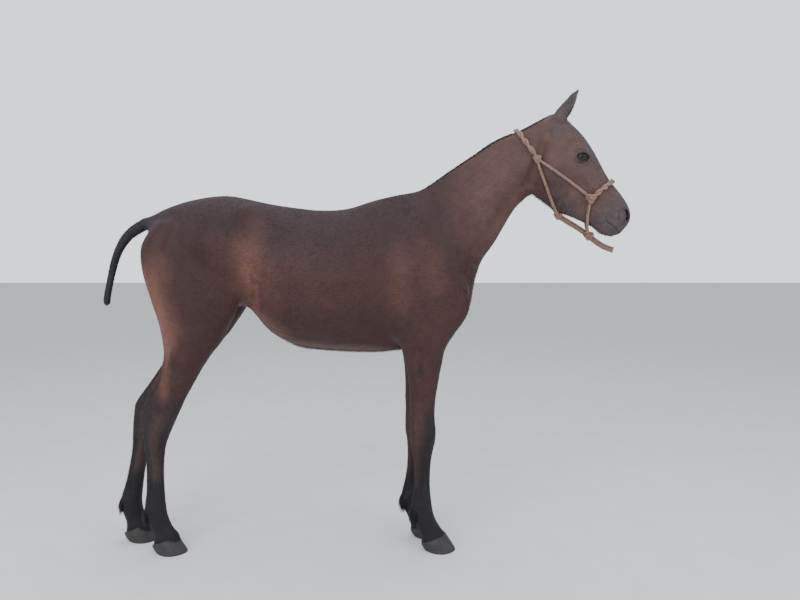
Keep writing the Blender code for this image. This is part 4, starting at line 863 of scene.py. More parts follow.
def coat_colour(points, normals):
    """The colour of the coat at places of the straight mare, for skin and tufts alike."""
    x, z = unshifted(points), points[:, 2]
    out = np.abs(points[:, 1])
    colour = np.tile(np.array(BAY), (len(points), 1))

    def paint(tone, share):
        nonlocal colour
        colour = blend(colour, tone, share)

    for tone, line, reach, strength in SHADES:
        paint(tone, patch(x, z, line, reach, strength))
    # Up-facing coat takes the darker bluish back tone: partly the darker back, partly painted sheen
    # of the sky on the top
    paint(BACK, between(normals[:, 2], 0.1, 0.8) * 0.8)
    paint(NECK, between(x, 0.13, 0.36) * between(z, 1.10, 1.30) * 0.9)
    # The lower edge of the belly is paler: partly its paler hair, partly painted backlight on the
    # bottom edge
    paint(PALE_AND_BACKLIT, patch(x, z, BELLY_LINE, 0.030, 0.45) * between(-normals[:, 2], 0.3, 0.9))
    # The legs darken downwards, the fore legs at the knee and the hind ones at the hock.
    fore = between(x, -0.30, -0.20)
    start = 0.56 * fore + 0.60 * (1 - fore)
    leg = between(-z, -(start + 0.10), -start)
    paint(SOOT, leg * 0.75)
    shin = between(-z, -(start - 0.02), -(start - 0.20))
    paint(BLACK, shin * 0.85)
    cannon = patch(x, z, [(-0.965, 0.560), (-0.990, 0.480), (-0.992, 0.320)], 0.036)
    paint(CANNON, (1 - fore) * 0.75 * cannon * between(z, 0.22, 0.32))
    shank = patch(x, z, [(0.064, 0.590), (0.056, 0.460), (0.048, 0.380), (0.042, 0.300)], 0.044)
    paint(WARM, fore * 0.34 * shank)
    paint(BLACK, fore * patch(x, z, [(0.148, 0.54), (0.146, 0.43)], 0.055, 0.7))
    # The head: grey-brown muzzle, darker round the eye, smoky forehead
    head = between(x, 0.56, 0.62) * between(z, 1.25, 1.30)
    paint(FACE, head * 0.9)
    along_face = (x - 0.62) * 0.62 - (z - 1.60) * 0.785
    paint(SMOKE, head * between(along_face, 0.23, 0.34) * 0.85)
    for tone, line, reach, strength in FACE_SHADES:
        paint(tone, head * patch(x, z, line, reach, strength))
    eye = np.hypot(x - EYE_CENTRE.x, z - EYE_CENTRE.z)
    paint(GREY_SKIN, head * between(-eye, -0.036, -0.022) * 0.5)
    paint(GREY_SKIN, patch(x, z, MOUTH, 0.010, 0.3) * head)
    paint(GREY_SKIN, patch(x, z, [row[0] for row in NOSTRIL_LINE], 0.022, 0.9) * head)
    # Black points: crest, tail and a dark line down the back
    over_crest = z - edge_at(TRUNK, "upper", x)
    on_crest = between(-out, -0.020, -0.009) * between(over_crest, -0.05, -0.03)
    paint(BLACK, on_crest * between(x, 0.08, 0.14) * between(-x, -0.66, -0.60) * 0.9)
    paint(SOOT, on_crest * between(-x, 0.0, 0.3) * 0.5)
    dock = between(-x, 0.985, 1.010) * between(z, 1.306, 1.318) * between(-out, -0.050, -0.028)
    tail = between(-x, 1.048, 1.056) * between(z, 0.98, 0.99)
    paint(SLATE, np.maximum(dock, tail))
    ear = between(z, 1.765, 1.800) * between(x, 0.60, 0.61)
    paint(SMOKE, ear * 0.95)
    inside = ear * between(normals[:, 0], 0.2, 0.6) * between(x, 0.655, 0.665)
    paint(INNER_EAR, inside * 0.6)
    paint(SOOT, between(z, 1.838, 1.858) * 0.6)
    paint(SOOT, patch(x, z, [(0.075, 0.775), (0.082, 0.735)], 0.014))  # chestnuts
    return colour


def lie_of(points, normals):
    """The way the hair lies at each place, as unit vectors along the surface."""
    x, z = unshifted(points), points[:, 2]
    ways = np.tile((-1.0, 0.0, -0.42), (len(points), 1))

    def mix(way, share):
        nonlocal ways
        ways = ways + (np.array(way) - ways) * share[:, None]

    mix((-0.75, 0, -0.75), between(x, 0.05, 0.30))
    mix((-0.95, 0, -0.30), between(z, 1.38, 1.45) * between(-x, 0.0, 0.1))
    mix((0.10, 0, -1.0), between(x, 0.10, 0.20) * between(-z, -1.15, -1.02))
    mix((-0.25, 0, -1.0), between(-z, -1.10, -0.85) * between(-x, 0.60, 0.72))
    mix((-0.10, 0, -1.0), between(-z, -0.84, -0.76))
    mix((-0.35, 0, -1.0), between(-x, 0.97, 1.02) * between(z, 0.9, 1.0)
        * between(-z, -1.35, -1.30))
    mix((-0.62, 0, -0.78), between(-x, 1.03, 1.08) * between(z, 0.95, 1.0))
    mix((-0.25, 0, -1.0), between(-x, 1.15, 1.18) * between(z, 0.95, 1.0))
    head = between(x, 0.56, 0.63)
    mix((0.35, 0, -0.94), head)
    mix((0.62, 0, -0.78), head * between(x + z, 2.25, 2.35))
    mix((0.35, 0, 1.0), between(z, 1.785, 1.80) * between(x, 0.60, 0.62))
    ways -= normals * np.sum(ways * normals, axis=1)[:, None]
    return ways / np.maximum(np.linalg.norm(ways, axis=1), 1e-6)[:, None]


def coat_depth(points):
    """How far the skin lies under the outside of the coat."""
    x, z = points[:, 0], points[:, 2]
    depth = 0.0024 - 0.0012 * between(-z, -0.80, -0.60)
    bare = np.maximum(between(x, 0.56, 0.66), between(-x, 1.03, 1.07) * between(z, 0.9, 1.0))
    depth -= (depth - 0.0008) * bare
    return depth - 0.0005 * between(z, 1.770, 1.790)


def chart(points):
    """Where each place lies on an unwrap of the skin's own shape: each leg, the tail and the
    rest of the body are slit along their length and laid flat beside each other."""
    x, y, z = points.T
    upper = edge_at(TRUNK + HEAD[2:], "upper", x)
    lower = edge_at(TRUNK + HEAD[6:], "lower", x)
    turn = np.arctan2(y, (upper + lower) / 2 - z) / (2 * math.pi) + 0.5
    u = 0.03 + 0.94 * (x + 1.06) / 2.02
    v = 0.42 + 0.56 * turn
    for number, (front, left) in enumerate(((0, 0), (0, 1), (1, 0), (1, 1))):
        table = FORELEG if front else HINDLEG
        rows = np.array([(row.z, (row.front + row.back) / 2, row.out) for row in table[::-1]])
        middle_x = np.interp(z, rows[:, 0], rows[:, 1])
        sway = 0 if front else table_at(HIND_SWAY, z)
        middle_y = np.interp(z, rows[:, 0], rows[:, 2]) * (1 if left else -1) + sway
        on_leg = (z < 0.86) & ((x > HIND_FROM) == bool(front)) & ((y > 0) == bool(left))
        around = np.arctan2(y - middle_y, unshifted(points) - middle_x) / (2 * math.pi) + 0.5
        u = np.where(on_leg, 0.03 + 0.20 * number + 0.17 * around, u)
        v = np.where(on_leg, 0.02 + 0.36 * z / 0.86, v)
    on_tail = (x < -1.045) & (z > 0.95)
    u = np.where(on_tail, 0.84 + 0.14 * (np.arctan2(y, x + 1.02) / (2 * math.pi) + 0.5), u)
    v = np.where(on_tail, 0.02 + 0.36 * (z - 0.98) / 0.45, v)
    return np.stack([u, v], 1)


def picked(skin, weight, count, rng):
    """Places spread over the skin as the weight of each face's middle says, with their normals."""
    points = points_of(skin)
    triangles = values(skin.data.polygons, "vertices", np.int32, 3)
    corners = points[triangles]
    normals = normals_of(skin)[triangles]
    cross = np.cross(corners[:, 1] - corners[:, 0], corners[:, 2] - corners[:, 0])
    area = np.linalg.norm(cross, axis=1) / 2
    middle = corners.mean(1)
    facing = normals.mean(1)
    share = area * np.maximum(weight(middle, facing), 0)
    chosen = rng.choice(len(triangles), count, p=share / share.sum())
    first, second = rng.random((2, count, 1))
    over = first + second > 1
    first, second = np.where(over, 1 - first, first), np.where(over, 1 - second, second)
    parts = np.concatenate([1 - first - second, first, second], 1)[:, :, None]
    places = (corners[chosen] * parts).sum(1)
    ways = (normals[chosen] * parts).sum(1)
    return places, unit(ways)


# The faces of a tuft, between the corners of its root, 0 to 2, its middle, 3 to 5, and its tip
TUFT_FACES = np.array([(0, 1, 2), (0, 5, 3), (0, 2, 5), (2, 4, 5), (2, 1, 4), (1, 3, 4), (1, 0, 3),
                       (3, 5, 6), (5, 4, 6), (4, 3, 6)])
TUFT_TONES = np.array([0.95, 0.95, 0.97, 1.0, 1.0, 1.03, 1.08])  # lighter towards the tip
TUFT_TILTS = np.array([0.2, -0.2, 0.0, 0.2, -0.2, 0.0, 0.0])  # of the shown normals, sideways
TUFT_SINK = 0.0012  # how far the root is under the skin
MAP_PATCH = 0.0015  # the radius of a tuft's patch on the bake's map


def tufts(name, roots, normals, ways, length, width, lift, rng, shade=None, droop=0.5):
    """One piece of coat: a thin closed tapered tuft on each root, which lies along its way."""
    count = len(roots)
    length = np.broadcast_to(length, count)[:, None] * rng.uniform(0.75, 1.25, (count, 1))
    width = np.broadcast_to(width, count)[:, None] * rng.uniform(0.8, 1.2, (count, 1))
    lift = np.broadcast_to(lift, count)[:, None] * rng.uniform(0.5, 1.5, (count, 1))
    side = np.cross(normals, ways)
    side /= np.maximum(np.linalg.norm(side, axis=1), 1e-6)[:, None]
    ways = unit(ways + side * rng.normal(0, 0.14, (count, 1)))
    side = np.cross(normals, ways)
    up = normals
    start = roots - up * TUFT_SINK
    middle = roots + (ways * np.cos(lift) + up * np.sin(lift)) * length * 0.5
    bend = lift * (1 - droop)
    tip = middle + (ways * np.cos(bend) + up * np.sin(bend)) * length * 0.5
    thick = width * 0.35
    rings = [start + side * width, start - side * width, start + up * thick,
             middle + side * width * 0.75, middle - side * width * 0.75, middle + up * thick * 0.8,
             tip]
    points = np.stack(rings, 1).reshape(-1, 3)
    faces = (TUFT_FACES + 7 * np.arange(count)[:, None, None]).reshape(-1, 3)
    root_colour = coat_colour(roots, normals) if shade is None else np.tile(shade, (count, 1))
    root_colour = root_colour * rng.uniform(0.92, 1.08, (count, 1))
    colour = (root_colour[:, None] * TUFT_TONES[:, None]).reshape(-1, 3)
    angles = 2 * math.pi * np.arange(7) / 7
    ring = MAP_PATCH * np.stack([np.cos(angles), np.sin(angles)], 1)
    map_points = (chart(roots)[:, None] + ring).reshape(-1, 2)
    shown = unit((up[:, None] + side[:, None] * TUFT_TILTS[:, None]).reshape(-1, 3))
    return coat_piece(name, points, faces, colour, map_points, shown)


SHOWN_NORMALS = {}  # for each piece of coat, normals near the skin's, so that it shades as one


def coat_piece(name, points, faces, colour, map_points, shown):
    """A mesh of triangles with a colour, a place on the bake's map and a normal at each vertex."""
    data = bpy.data.meshes.new(name)
    data.vertices.add(len(points))
    data.vertices.foreach_set("co", points.astype(np.float32).ravel())
    data.loops.add(3 * len(faces))
    data.loops.foreach_set("vertex_index", faces.astype(np.int32).ravel())
    data.polygons.add(len(faces))
    data.polygons.foreach_set("loop_start", np.arange(0, 3 * len(faces), 3, dtype=np.int32))
    data.update(calc_edges=True)
    data.validate()
    give_colour(data, colour)
    layer = data.uv_layers.new(name="OFBake")
    layer.data.foreach_set("uv", map_points[faces.ravel()].astype(np.float32).ravel())
    SHOWN_NORMALS[name] = shown
    return linked(name, data)


def give_colour(data, colour):
    attribute = data.color_attributes.new("Tone", "FLOAT_COLOR", "POINT")
    full = np.concatenate([colour, np.ones((len(colour), 1))], 1)
    attribute.data.foreach_set("color", full.astype(np.float32).ravel())


# The halter, as places seen from the side
CREST_TOP = (0.468, 1.719)
CHEEK_KNOT = (0.553, 1.595)
NOSE_KNOT = (0.762, 1.439)
NOSE_TOP = (0.849, 1.507)
THROAT_KNOT = Vector((0.640, 0, 1.374))
CHIN_KNOT = Vector((0.762, 0, 1.292))
LOOP_END = Vector((0.857, 0, 1.234))
DOUBLED = ROPE_RADIUS * 1.75  # half the width where two ropes lie side by side


def over_the_top(surface, start, top, side, count):
    """Places on the surface from a side point up over to the mid plane, in one slanted plane."""
    start, top = Vector((start[0], 0, start[1])), Vector((top[0], 0, top[1]))
    up = (top - start).normalized()
    inside = start.lerp(top, 0.45)
    first = surface.ray_cast(Vector((start.x, side * 0.3, start.z)), Vector((0, -side, 0)))[0]
    low = math.atan2((first - inside).dot(up), side * first.y)
    places = []
    for step in range(count):
        angle = low + (math.pi / 2 - low) * step / (count - 1)
        way = Vector((0, side * math.cos(angle), 0)) + up * math.sin(angle)
        places.append(surface.ray_cast(inside, way)[0])
    return places


def down_the_side(surface, start, end, side, count):
    """Places on the surface along a straight line seen from the side."""
    places = []
    for step in range(count):
        share = step / (count - 1)
        x = start[0] + (end[0] - start[0]) * share
        z = start[1] + (end[1] - start[1]) * share
        places.append(surface.ray_cast(Vector((x, side * 0.3, z)), Vector((0, -side, 0)))[0])
    return places


def lay(surface, places, wide, thick):
    """The course of a rope laid on the surface through the places, whose ends stay in place."""
    clear = thick + 0.0008
    centres = []
    for place in places:
        near, normal = surface.find_nearest(place)[:2]
        centres.append(near + normal * clear if (place - near).length < 0.004 else place)
    for _ in range(6):
        inner = [before.lerp(after, 0.5).lerp(here, 0.5)
                 for before, here, after in zip(centres, centres[1:], centres[2:])]
        centres = [centres[0], *inner, centres[-1]]
        for i, centre in enumerate(centres):
            near, normal = surface.find_nearest(centre)[:2]
            if (centre - near).dot(normal) < clear:
                centres[i] = near + normal * clear
    across = []
    for i, centre in enumerate(centres):
        ahead = centres[min(i + 1, len(centres) - 1)] - centres[max(i - 1, 0)]
        normal = centre - surface.find_nearest(centre)[0]
        across.append(ahead.cross(normal).normalized())
    return centres, [(wide, thick)] * len(centres), across


def halter_plan(surface):
    """The courses of the ropes, and the centres and radii of the knots, by name."""
    rope = ROPE_RADIUS
    courses, knots = {}, {}
    for side, label in SIDES:
        cheek = down_the_side(surface, CHEEK_KNOT, NOSE_KNOT, side, 9)
        crown = over_the_top(surface, CHEEK_KNOT, CREST_TOP, side, 8)
        crown[-1].y = 0.0
        courses["rope_crown_" + label] = lay(surface, crown, DOUBLED, rope)
        band = over_the_top(surface, NOSE_KNOT, NOSE_TOP, side, 7)
        band[-1].y = 0.0
        courses["rope_nose_" + label] = lay(surface, band, DOUBLED, rope)
        throat = down_the_side(surface, CHEEK_KNOT, (0.626, 1.402), side, 7)
        throat.append(Vector((0.634, side * 0.026, 1.381)))
        throat.append(THROAT_KNOT + Vector((0, side * 0.004, 0)))
        courses["rope_throat_" + label] = lay(surface, throat, rope, rope)
        chin = down_the_side(surface, NOSE_KNOT, (0.748, 1.352), side, 4)
        chin.append(Vector((0.749, side * 0.032, 1.326)))
        chin.append(CHIN_KNOT + Vector((-0.004, side * 0.010, 0.010)))
        courses["rope_chin_" + label] = lay(surface, chin, rope, rope)
        courses["rope_cheek_" + label] = lay(surface, cheek, rope, rope)
        for kind, place, size in (("cheek", cheek[0], KNOT_RADIUS),
                                  ("nose", cheek[-1], NOSE_KNOT_RADIUS)):
            normal = surface.find_nearest(place)[1]
            knots[f"knot_{kind}_{label}"] = (place + normal * KNOT_LIFT, (size, size * 0.85, size))
    sideways_ropes = [Vector((0.35, 0.55, 0.75))] * 6
    under = [THROAT_KNOT, Vector((0.667, 0, 1.356)), Vector((0.696, 0, 1.338)),
             Vector((0.730, 0, 1.316)), CHIN_KNOT]
    courses["rope_under_jaw"] = (under, [(DOUBLED, rope)] * 5, sideways_ropes)
    loop = [CHIN_KNOT.lerp(LOOP_END, step / 5)
            - Vector((0, 0, 0.008 * math.sin(math.pi * step / 5))) for step in range(6)]
    ends = [(DOUBLED, rope)] * 5 + [(rope * 1.3, rope * 0.7)]
    courses["rope_loop"] = (loop, ends, sideways_ropes)
    knots["knot_throat"] = (THROAT_KNOT, (KNOT_RADIUS, KNOT_RADIUS * 0.85, KNOT_RADIUS))
    knots["knot_chin"] = (CHIN_KNOT, (KNOT_RADIUS * 1.25, KNOT_RADIUS, KNOT_RADIUS * 1.1))
    return courses, knots


STRAND_TURN = 0.026  # the length of one turn of the strands
PAIR_HALF_TURN = 0.040  # two ropes side by side wind round each other once in twice this length
THICKER = {"halter_rope_under_jaw": 1.25, "halter_rope_loop": 1.25}
PAIR_OFFSET = 0.0047  # how far each rope of a pair lies from the course
STRAND_OFFSET, STRAND_RADIUS = 0.0030, 0.0033  # of the three strands in a rope
KNOT_ROPE = 0.0050  # how much smaller a knot's course is than the knot
KNOT_OFFSET, KNOT_STRAND = 0.0026, 0.0031  # of the strands in a knot
KNOT_SPREAD = 1.12
PAINTED_STRAND_SHADE = np.array([1.25, 1.1, 0.55, 0.35, 0.35, 0.55, 1.1, 1.25])  # painted shade round each strand, dark where the strands meet and lighter on their crowns


def rope(name, centres, across, offset, phase, thick):
    """A laid rope of three strands beside the course, shifted by offset along across."""
    course = dense(centres, 8)
    ways = dense(across, 8)
    total = sum((after - before).length for before, after in zip(course, course[1:]))
    half_turns = round(total / PAIR_HALF_TURN) if thick == 1 else 0
    length = 0.0
    strands, facing = [[], [], []], [[], [], []]
    for i, (place, way) in enumerate(zip(course, ways)):
        if i:
            length += (place - course[i - 1]).length
        first, second = axes(course, i, way)
        turn = math.pi * half_turns * length / total
        beside = (first * math.cos(turn) + second * 0.8 * math.sin(turn)) * offset * thick
        for number, strand in enumerate(strands):
            angle = 2 * math.pi * (length / STRAND_TURN + number / 3) + phase
            outward = first * math.cos(angle) + second * math.sin(angle)
            strand.append(place + beside + outward * STRAND_OFFSET * thick)
            facing[number].append(outward)
    radius = STRAND_RADIUS * thick
    return [sweep(name, strand, [(radius, radius)] * len(strand), 8, outwards)
            for strand, outwards in zip(strands, facing)]


def halter_rope(name, course):
    """A course of the halter, as two ropes side by side where it is doubled."""
    centres, radii, across = course
    doubled = radii[0][0] > ROPE_RADIUS * 1.2
    thick = THICKER.get(name, 1.0)
    pieces = []
    for number, offset in enumerate((-PAIR_OFFSET, PAIR_OFFSET) if doubled else (0.0,)):
        pieces += rope(name, centres, across, offset, 1.3 * number, thick)
    return joined(name, pieces)


def knot(name, centre, radii):
    """A tight knot: a rope that goes three times round and through itself."""
    course = []
    radii = [radius * KNOT_SPREAD for radius in radii]
    steps = 72
    for step in range(steps):
        angle = 2 * math.pi * step / steps
        place = Vector((math.sin(angle) + 2 * math.sin(2 * angle), -1.15 * math.sin(3 * angle),
                        math.cos(angle) - 2 * math.cos(2 * angle)))
        course.append(centre + Vector([place[i] / 3 * (radii[i] - KNOT_ROPE) * KNOT_SPREAD
                                       for i in range(3)]))
    ways = [(place - centre).normalized() for place in course]
    pieces = []
    for number in range(3):
        strand, facing = [], []
        for i, (place, way) in enumerate(zip(course, ways)):
            first, second = axes(course, i, way, closed=True)
            angle = 2 * math.pi * (5 * i / steps + number / 3)
            outward = first * math.cos(angle) + second * math.sin(angle)
            strand.append(place + outward * KNOT_OFFSET)
            facing.append(outward)
        radii_along = [(KNOT_STRAND, KNOT_STRAND)] * steps
        pieces.append(sweep(name, strand, radii_along, 8, facing, closed=True))
    pieces.append(lump(name, centre, [radius * 0.72 for radius in radii], 0, 3))
    return joined(name, pieces)


HIND_HOOF_BACK = 1.100  # how far the right hind hoof stands behind the right fore hoof
HOOF_RINGS, FINE_HOOF_RINGS = 0.0085, 0.0038  # the height of one growth ring
RING_DEPTH = 0.00032
HOOF_LEVELS = [  # front and back edge of a hoof, and half its width, from the coronet down
    ((0.1790, 0.0730), (0.0830, 0.0330), 0.0375),
    ((0.1855, 0.0690), (0.0810, 0.0275), 0.0420),
    ((0.1875, 0.0660), (0.0820, 0.0250), 0.0430),
    ((0.1900, 0.0620), (0.0830, 0.0230), 0.0445),
    ((0.1970, 0.0510), (0.0850, 0.0185), 0.0475),
    ((0.2080, 0.0340), (0.0890, 0.0130), 0.0500),
    ((0.2165, 0.0200), (0.0920, 0.0085), 0.0520),
    ((0.2235, 0.0080), (0.0960, 0.0040), 0.0540),
    ((0.2255, 0.0030), (0.0975, 0.0025), 0.0545),
    ((0.2245, 0.0008), (0.0985, 0.0008), 0.0535),
    ((0.2230, 0.0000), (0.1000, 0.0000), 0.0525),
]


def make_hoof(name, side, hind):
    """One hoof with its coronet, growth rings and heels. side is -1 on the right."""
    offset = -HIND_HOOF_BACK if hind else 0.0
    stride = HIND_STRIDE[-1][1] if hind else FORE_STRIDE[-1][1]
    if side > 0:
        offset += stride
    out = side * HINDLEG[-1].out + HIND_SWAY[-1][1] if hind else side * FORELEG[-1].out
    narrow = 0.94 if hind else 1.0
    stations = []
    for front, back, half in HOOF_LEVELS:
        width = half * narrow
        stations.append(Station((front[0] + offset, front[1]), (back[0] + offset, back[1]),
                                width * 0.74, width, width * 0.62, 2.2, out))
    hoof = loft(name, stations, 64, 6)
    points, normals = points_of(hoof), normals_of(hoof)
    x, y, z = points.T
    middle = 0.15 + offset
    toe = between(x, middle - 0.02, middle + 0.06)
    slope = z + 0.33 * (x - offset - 0.10)
    rings = np.sin(slope * 2 * math.pi / HOOF_RINGS + 0.9 * np.sin(slope * 210 + 3 * side))
    rings += 0.5 * np.sin(slope * 2 * math.pi / FINE_HOOF_RINGS + 8 * y / 0.05)
    wall = between(z, 0.004, 0.012) * (0.35 + 0.65 * toe)
    points += normals * (RING_DEPTH * rings * wall)[:, None]
    cleft = np.exp(-((y - out) / 0.007) ** 2) * between(-x, -(offset + 0.112), -(offset + 0.094))
    points[:, 0] += 0.010 * cleft * between(z, 0.0005, 0.006)
    set_points(hoof, points)
    return hoof


IRIS = (0.0205, 0.0165)  # half its length and its height
PUPIL = (0.0135, 0.0070)


def make_eye(name, side):
    """The eyeball, with a clear bulge over its iris."""
    centre, facing = eye_frame(side)
    ball = lump(name, centre, (BALL_RADIUS,) * 3, 0, 6)
    points = points_of(ball)
    outward = np.array(facing @ Vector((0, side, 0)))
    ways = points - np.array(centre)
    front = ways @ outward / EYE_RADIUS
    bulge = between(front, 0.80, 0.95) * 0.0006
    set_points(ball, points + ways / EYE_RADIUS * bulge[:, None])
    give_colour(ball.data, eye_colour(ways, facing, side))
    return ball


def eye_colour(ways, facing, side):
    """A dark brown iris round a wide pupil, in a dark rim."""
    local = ways @ np.array(facing)
    across = np.hypot(local[:, 0] / IRIS[0], local[:, 2] / IRIS[1])
    pupil = np.hypot(local[:, 0] / PUPIL[0], local[:, 2] / PUPIL[1])
    spokes = 0.5 + 0.5 * np.sin(np.arctan2(local[:, 2], local[:, 0]) * 37)
    colour = np.tile((0.030, 0.019, 0.014), (len(ways), 1)) * (0.7 + 0.6 * spokes[:, None])
    colour = blend(colour, (0.007, 0.009, 0.013), between(-pupil, -1.15, -0.90))
    colour = blend(colour, (0.007, 0.006, 0.006), between(across, 0.80, 1.0))
    colour = blend(colour, (0.013, 0.010, 0.010), between(across, 1.12, 1.25))
    outward = local[:, 1] * side
    return blend(colour, (0.02, 0.015, 0.013), between(-outward, -0.004, 0.0))


MILLIMETRE = 0.001


def turn_table():
    """Places of the middle line of the neck and head, seen from above, every millimetre."""
    table = [(TURN_START, 0.0)]
    for step in range(900):
        share = min(1.0, (step + 0.5) * MILLIMETRE / (TURN_END - TURN_START))
        angle = HEAD_TURN * share * share * (3 - 2 * share)
        x, y = table[-1]
        table.append((x + math.cos(angle) * MILLIMETRE, y + math.sin(angle) * MILLIMETRE))
    return np.array(table)


MIDDLE = turn_table()


def turned(points):
    """Where places of the straight mare come when the neck and head are turned."""
    x, y, z = points.T
    along_x = TURN_START + MILLIMETRE * np.arange(len(MIDDLE))
    angle = HEAD_TURN * between(x, TURN_START, TURN_END)
    bent = np.stack([np.interp(x, along_x, MIDDLE[:, 0]) - np.sin(angle) * y,
                     np.interp(x, along_x, MIDDLE[:, 1]) + np.cos(angle) * y, z], 1)
    return np.where((x > TURN_START)[:, None], bent, points)


low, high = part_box("eye_right")
SHIFT = (np.array(low) + np.array(high)) / 2 - turned(np.array([SOLID_EYE]))[0]


def place(obj, material, nodes, slot):
    """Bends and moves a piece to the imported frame, and gives it its material and its nodes."""
    straight = points_of(obj)
    set_points(obj, turned(straight) + SHIFT)
    obj.data.materials.clear()
    obj.data.materials.append(material)
    obj.data.polygons.foreach_set("use_smooth", [True] * len(obj.data.polygons))
    if obj.name in SHOWN_NORMALS:
        x, y, z = SHOWN_NORMALS.pop(obj.name).T
        angle = HEAD_TURN * between(straight[:, 0], TURN_START, TURN_END)
        cos, sin = np.cos(angle), np.sin(angle)
        obj.data.normals_split_custom_set_from_vertices(
            np.stack([cos * x - sin * y, sin * x + cos * y, z], 1).tolist())
    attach(obj, "root")
    if nodes:
        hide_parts(*nodes)
    return obj


class Nodes:
    """A material's node tree, with short ways to add and link its nodes."""

    def __init__(self, name):
        self.material = bpy.data.materials.new(name)
        self.material.use_nodes = True
        self.tree = self.material.node_tree
        self.shader = self.tree.nodes["Principled BSDF"]

    def set(self, **sockets):
        for name, value in sockets.items():
            self.shader.inputs[name.replace("_", " ")].default_value = value
        return self

    def node(self, kind, **settings):
        made = self.tree.nodes.new("ShaderNode" + kind)
        for name, value in settings.items():
            if name in made.inputs:
                made.inputs[name].default_value = value
            else:
                setattr(made, name, value)
        return made

    def link(self, start, end):
        self.tree.links.new(start, end)

    def place(self, scale):
        """The place in metres, stretched by the scale."""
        mapping = self.node("Mapping", Scale=scale)
        self.link(self.node("TexCoord").outputs["Object"], mapping.inputs["Vector"])
        return mapping.outputs[0]

    def noise(self, scale, detail=2.0, roughness=0.5):
        """Noise as fine as the scale, a number or one number for each axis."""
        scale = scale if isinstance(scale, tuple) else (scale,) * 3
        made = self.node("TexNoise", Scale=1.0, Detail=detail, Roughness=roughness)
        self.link(self.place(scale), made.inputs["Vector"])
        return made.outputs["Fac"]

    def ramp(self, value, low, high, start=0.3, end=0.7):
        """Runs from low to high while the value goes from start to end."""
        made = self.node("MapRange", **{"From Min": start, "From Max": end,
                                        "To Min": low, "To Max": high})
        self.link(value, made.inputs["Value"])
        return made.outputs[0]

    def math(self, operation, first, second):
        made = self.node("Math", operation=operation)
        for socket, value in zip(made.inputs, (first, second)):
            if isinstance(value, (int, float)):
                socket.default_value = value
            else:
                self.link(value, socket)
        return made.outputs[0]

    def mixed(self, share, first, second):
        made = self.node("Mix")
        for name, value in (("Factor", share), ("A", first), ("B", second)):
            self.link(value, made.inputs[name])
        return made.outputs["Result"]

    def paint(self, shade):
        """Gives the surface the mesh's own colour, made lighter or darker by the shade."""
        made = self.node("VectorMath", operation="SCALE")
        self.link(self.node("Attribute", attribute_name="Tone").outputs["Color"], made.inputs[0])
        self.link(shade, made.inputs["Scale"])
        self.link(made.outputs[0], self.shader.inputs["Base Color"])

    def bump(self, height, distance, strength):
        made = self.node("Bump", Strength=strength, Distance=distance)
        self.link(height, made.inputs["Height"])
        self.link(made.outputs[0], self.shader.inputs["Normal"])


def streaks(tree, long_scale, fine_scale):
    """Fine streaks along the lie of the hair: along the body above, and down the legs."""
    body = tree.noise((long_scale, fine_scale, fine_scale), 3.0, 0.6)
    leg = tree.noise((fine_scale, fine_scale, long_scale), 3.0, 0.6)
    where = tree.node("SeparateXYZ")
    tree.link(tree.node("TexCoord").outputs["Object"], where.inputs[0])
    head = tree.noise(fine_scale * 0.5, 3.0, 0.6)
    upper = tree.mixed(tree.ramp(where.outputs["X"], 0.0, 1.0, 0.66, 0.80), body, head)
    return tree.mixed(tree.ramp(where.outputs["Z"], 1.0, 0.0, 0.70, 1.00), upper, leg)


def coat_material(name, bump):
    tree = Nodes(name).set(Specular_IOR_Level=0.22, Sheen_Weight=0.05, Sheen_Roughness=0.45,
                           Sheen_Tint=(0.75, 0.78, 0.95, 1.0))
    fine = streaks(tree, 45.0, 420.0)
    patches = tree.noise(7.0, 3.0)
    mottling = tree.noise(34.0, 4.0, 0.6)
    shade = tree.math("MULTIPLY", tree.ramp(fine, 0.76, 1.24), tree.ramp(patches, 0.88, 1.12))
    shade = tree.math("MULTIPLY", shade, tree.ramp(mottling, 0.90, 1.10))
    tree.paint(shade)
    tree.link(tree.ramp(fine, 0.55, 0.72), tree.shader.inputs["Roughness"])
    tree.bump(fine, 0.0008, bump)
    return tree.material


def wet_skin_material():
    tree = Nodes("lid_skin").set(Roughness=0.42, Specular_IOR_Level=0.45)
    speckle = tree.noise(350.0, 3.0)
    tree.paint(tree.ramp(speckle, 0.75, 1.25))
    tree.bump(speckle, 0.0003, 0.5)
    return tree.material


def eye_material():
    tree = Nodes("eye_gloss").set(Roughness=0.30, Specular_IOR_Level=0.20, Coat_Weight=0.06,
                                  Coat_Roughness=0.20)
    cloud = tree.noise(160.0, 3.0)
    tree.paint(tree.ramp(cloud, 0.85, 1.15))
    return tree.material


def hoof_material():
    tree = Nodes("hoof_horn").set(Specular_IOR_Level=0.35)
    grain = tree.noise((260.0, 260.0, 14.0), 4.0, 0.6)
    rings = tree.noise((14.0, 14.0, 190.0), 3.0)
    dust = tree.noise(28.0, 5.0, 0.65)
    shade = tree.math("MULTIPLY", tree.ramp(grain, 0.80, 1.20), tree.ramp(rings, 0.85, 1.15))
    tree.paint(tree.math("MULTIPLY", shade, tree.ramp(dust, 0.75, 1.30)))
    tree.link(tree.ramp(dust, 0.45, 0.75), tree.shader.inputs["Roughness"])
    tree.bump(tree.math("ADD", grain, rings), 0.0006, 0.5)
    return tree.material


def rope_material():
    tree = Nodes("halter_rope").set(Roughness=0.72, Sheen_Weight=0.3, Sheen_Roughness=0.5)
    fibre = tree.noise(900.0, 2.0)
    dirt = tree.noise(60.0, 4.0, 0.6)
    shade = tree.math("MULTIPLY", tree.ramp(fibre, 0.75, 1.25), tree.ramp(dirt, 0.70, 1.15))
    tree.paint(shade)
    tree.bump(fibre, 0.0004, 0.7)
    return tree.material


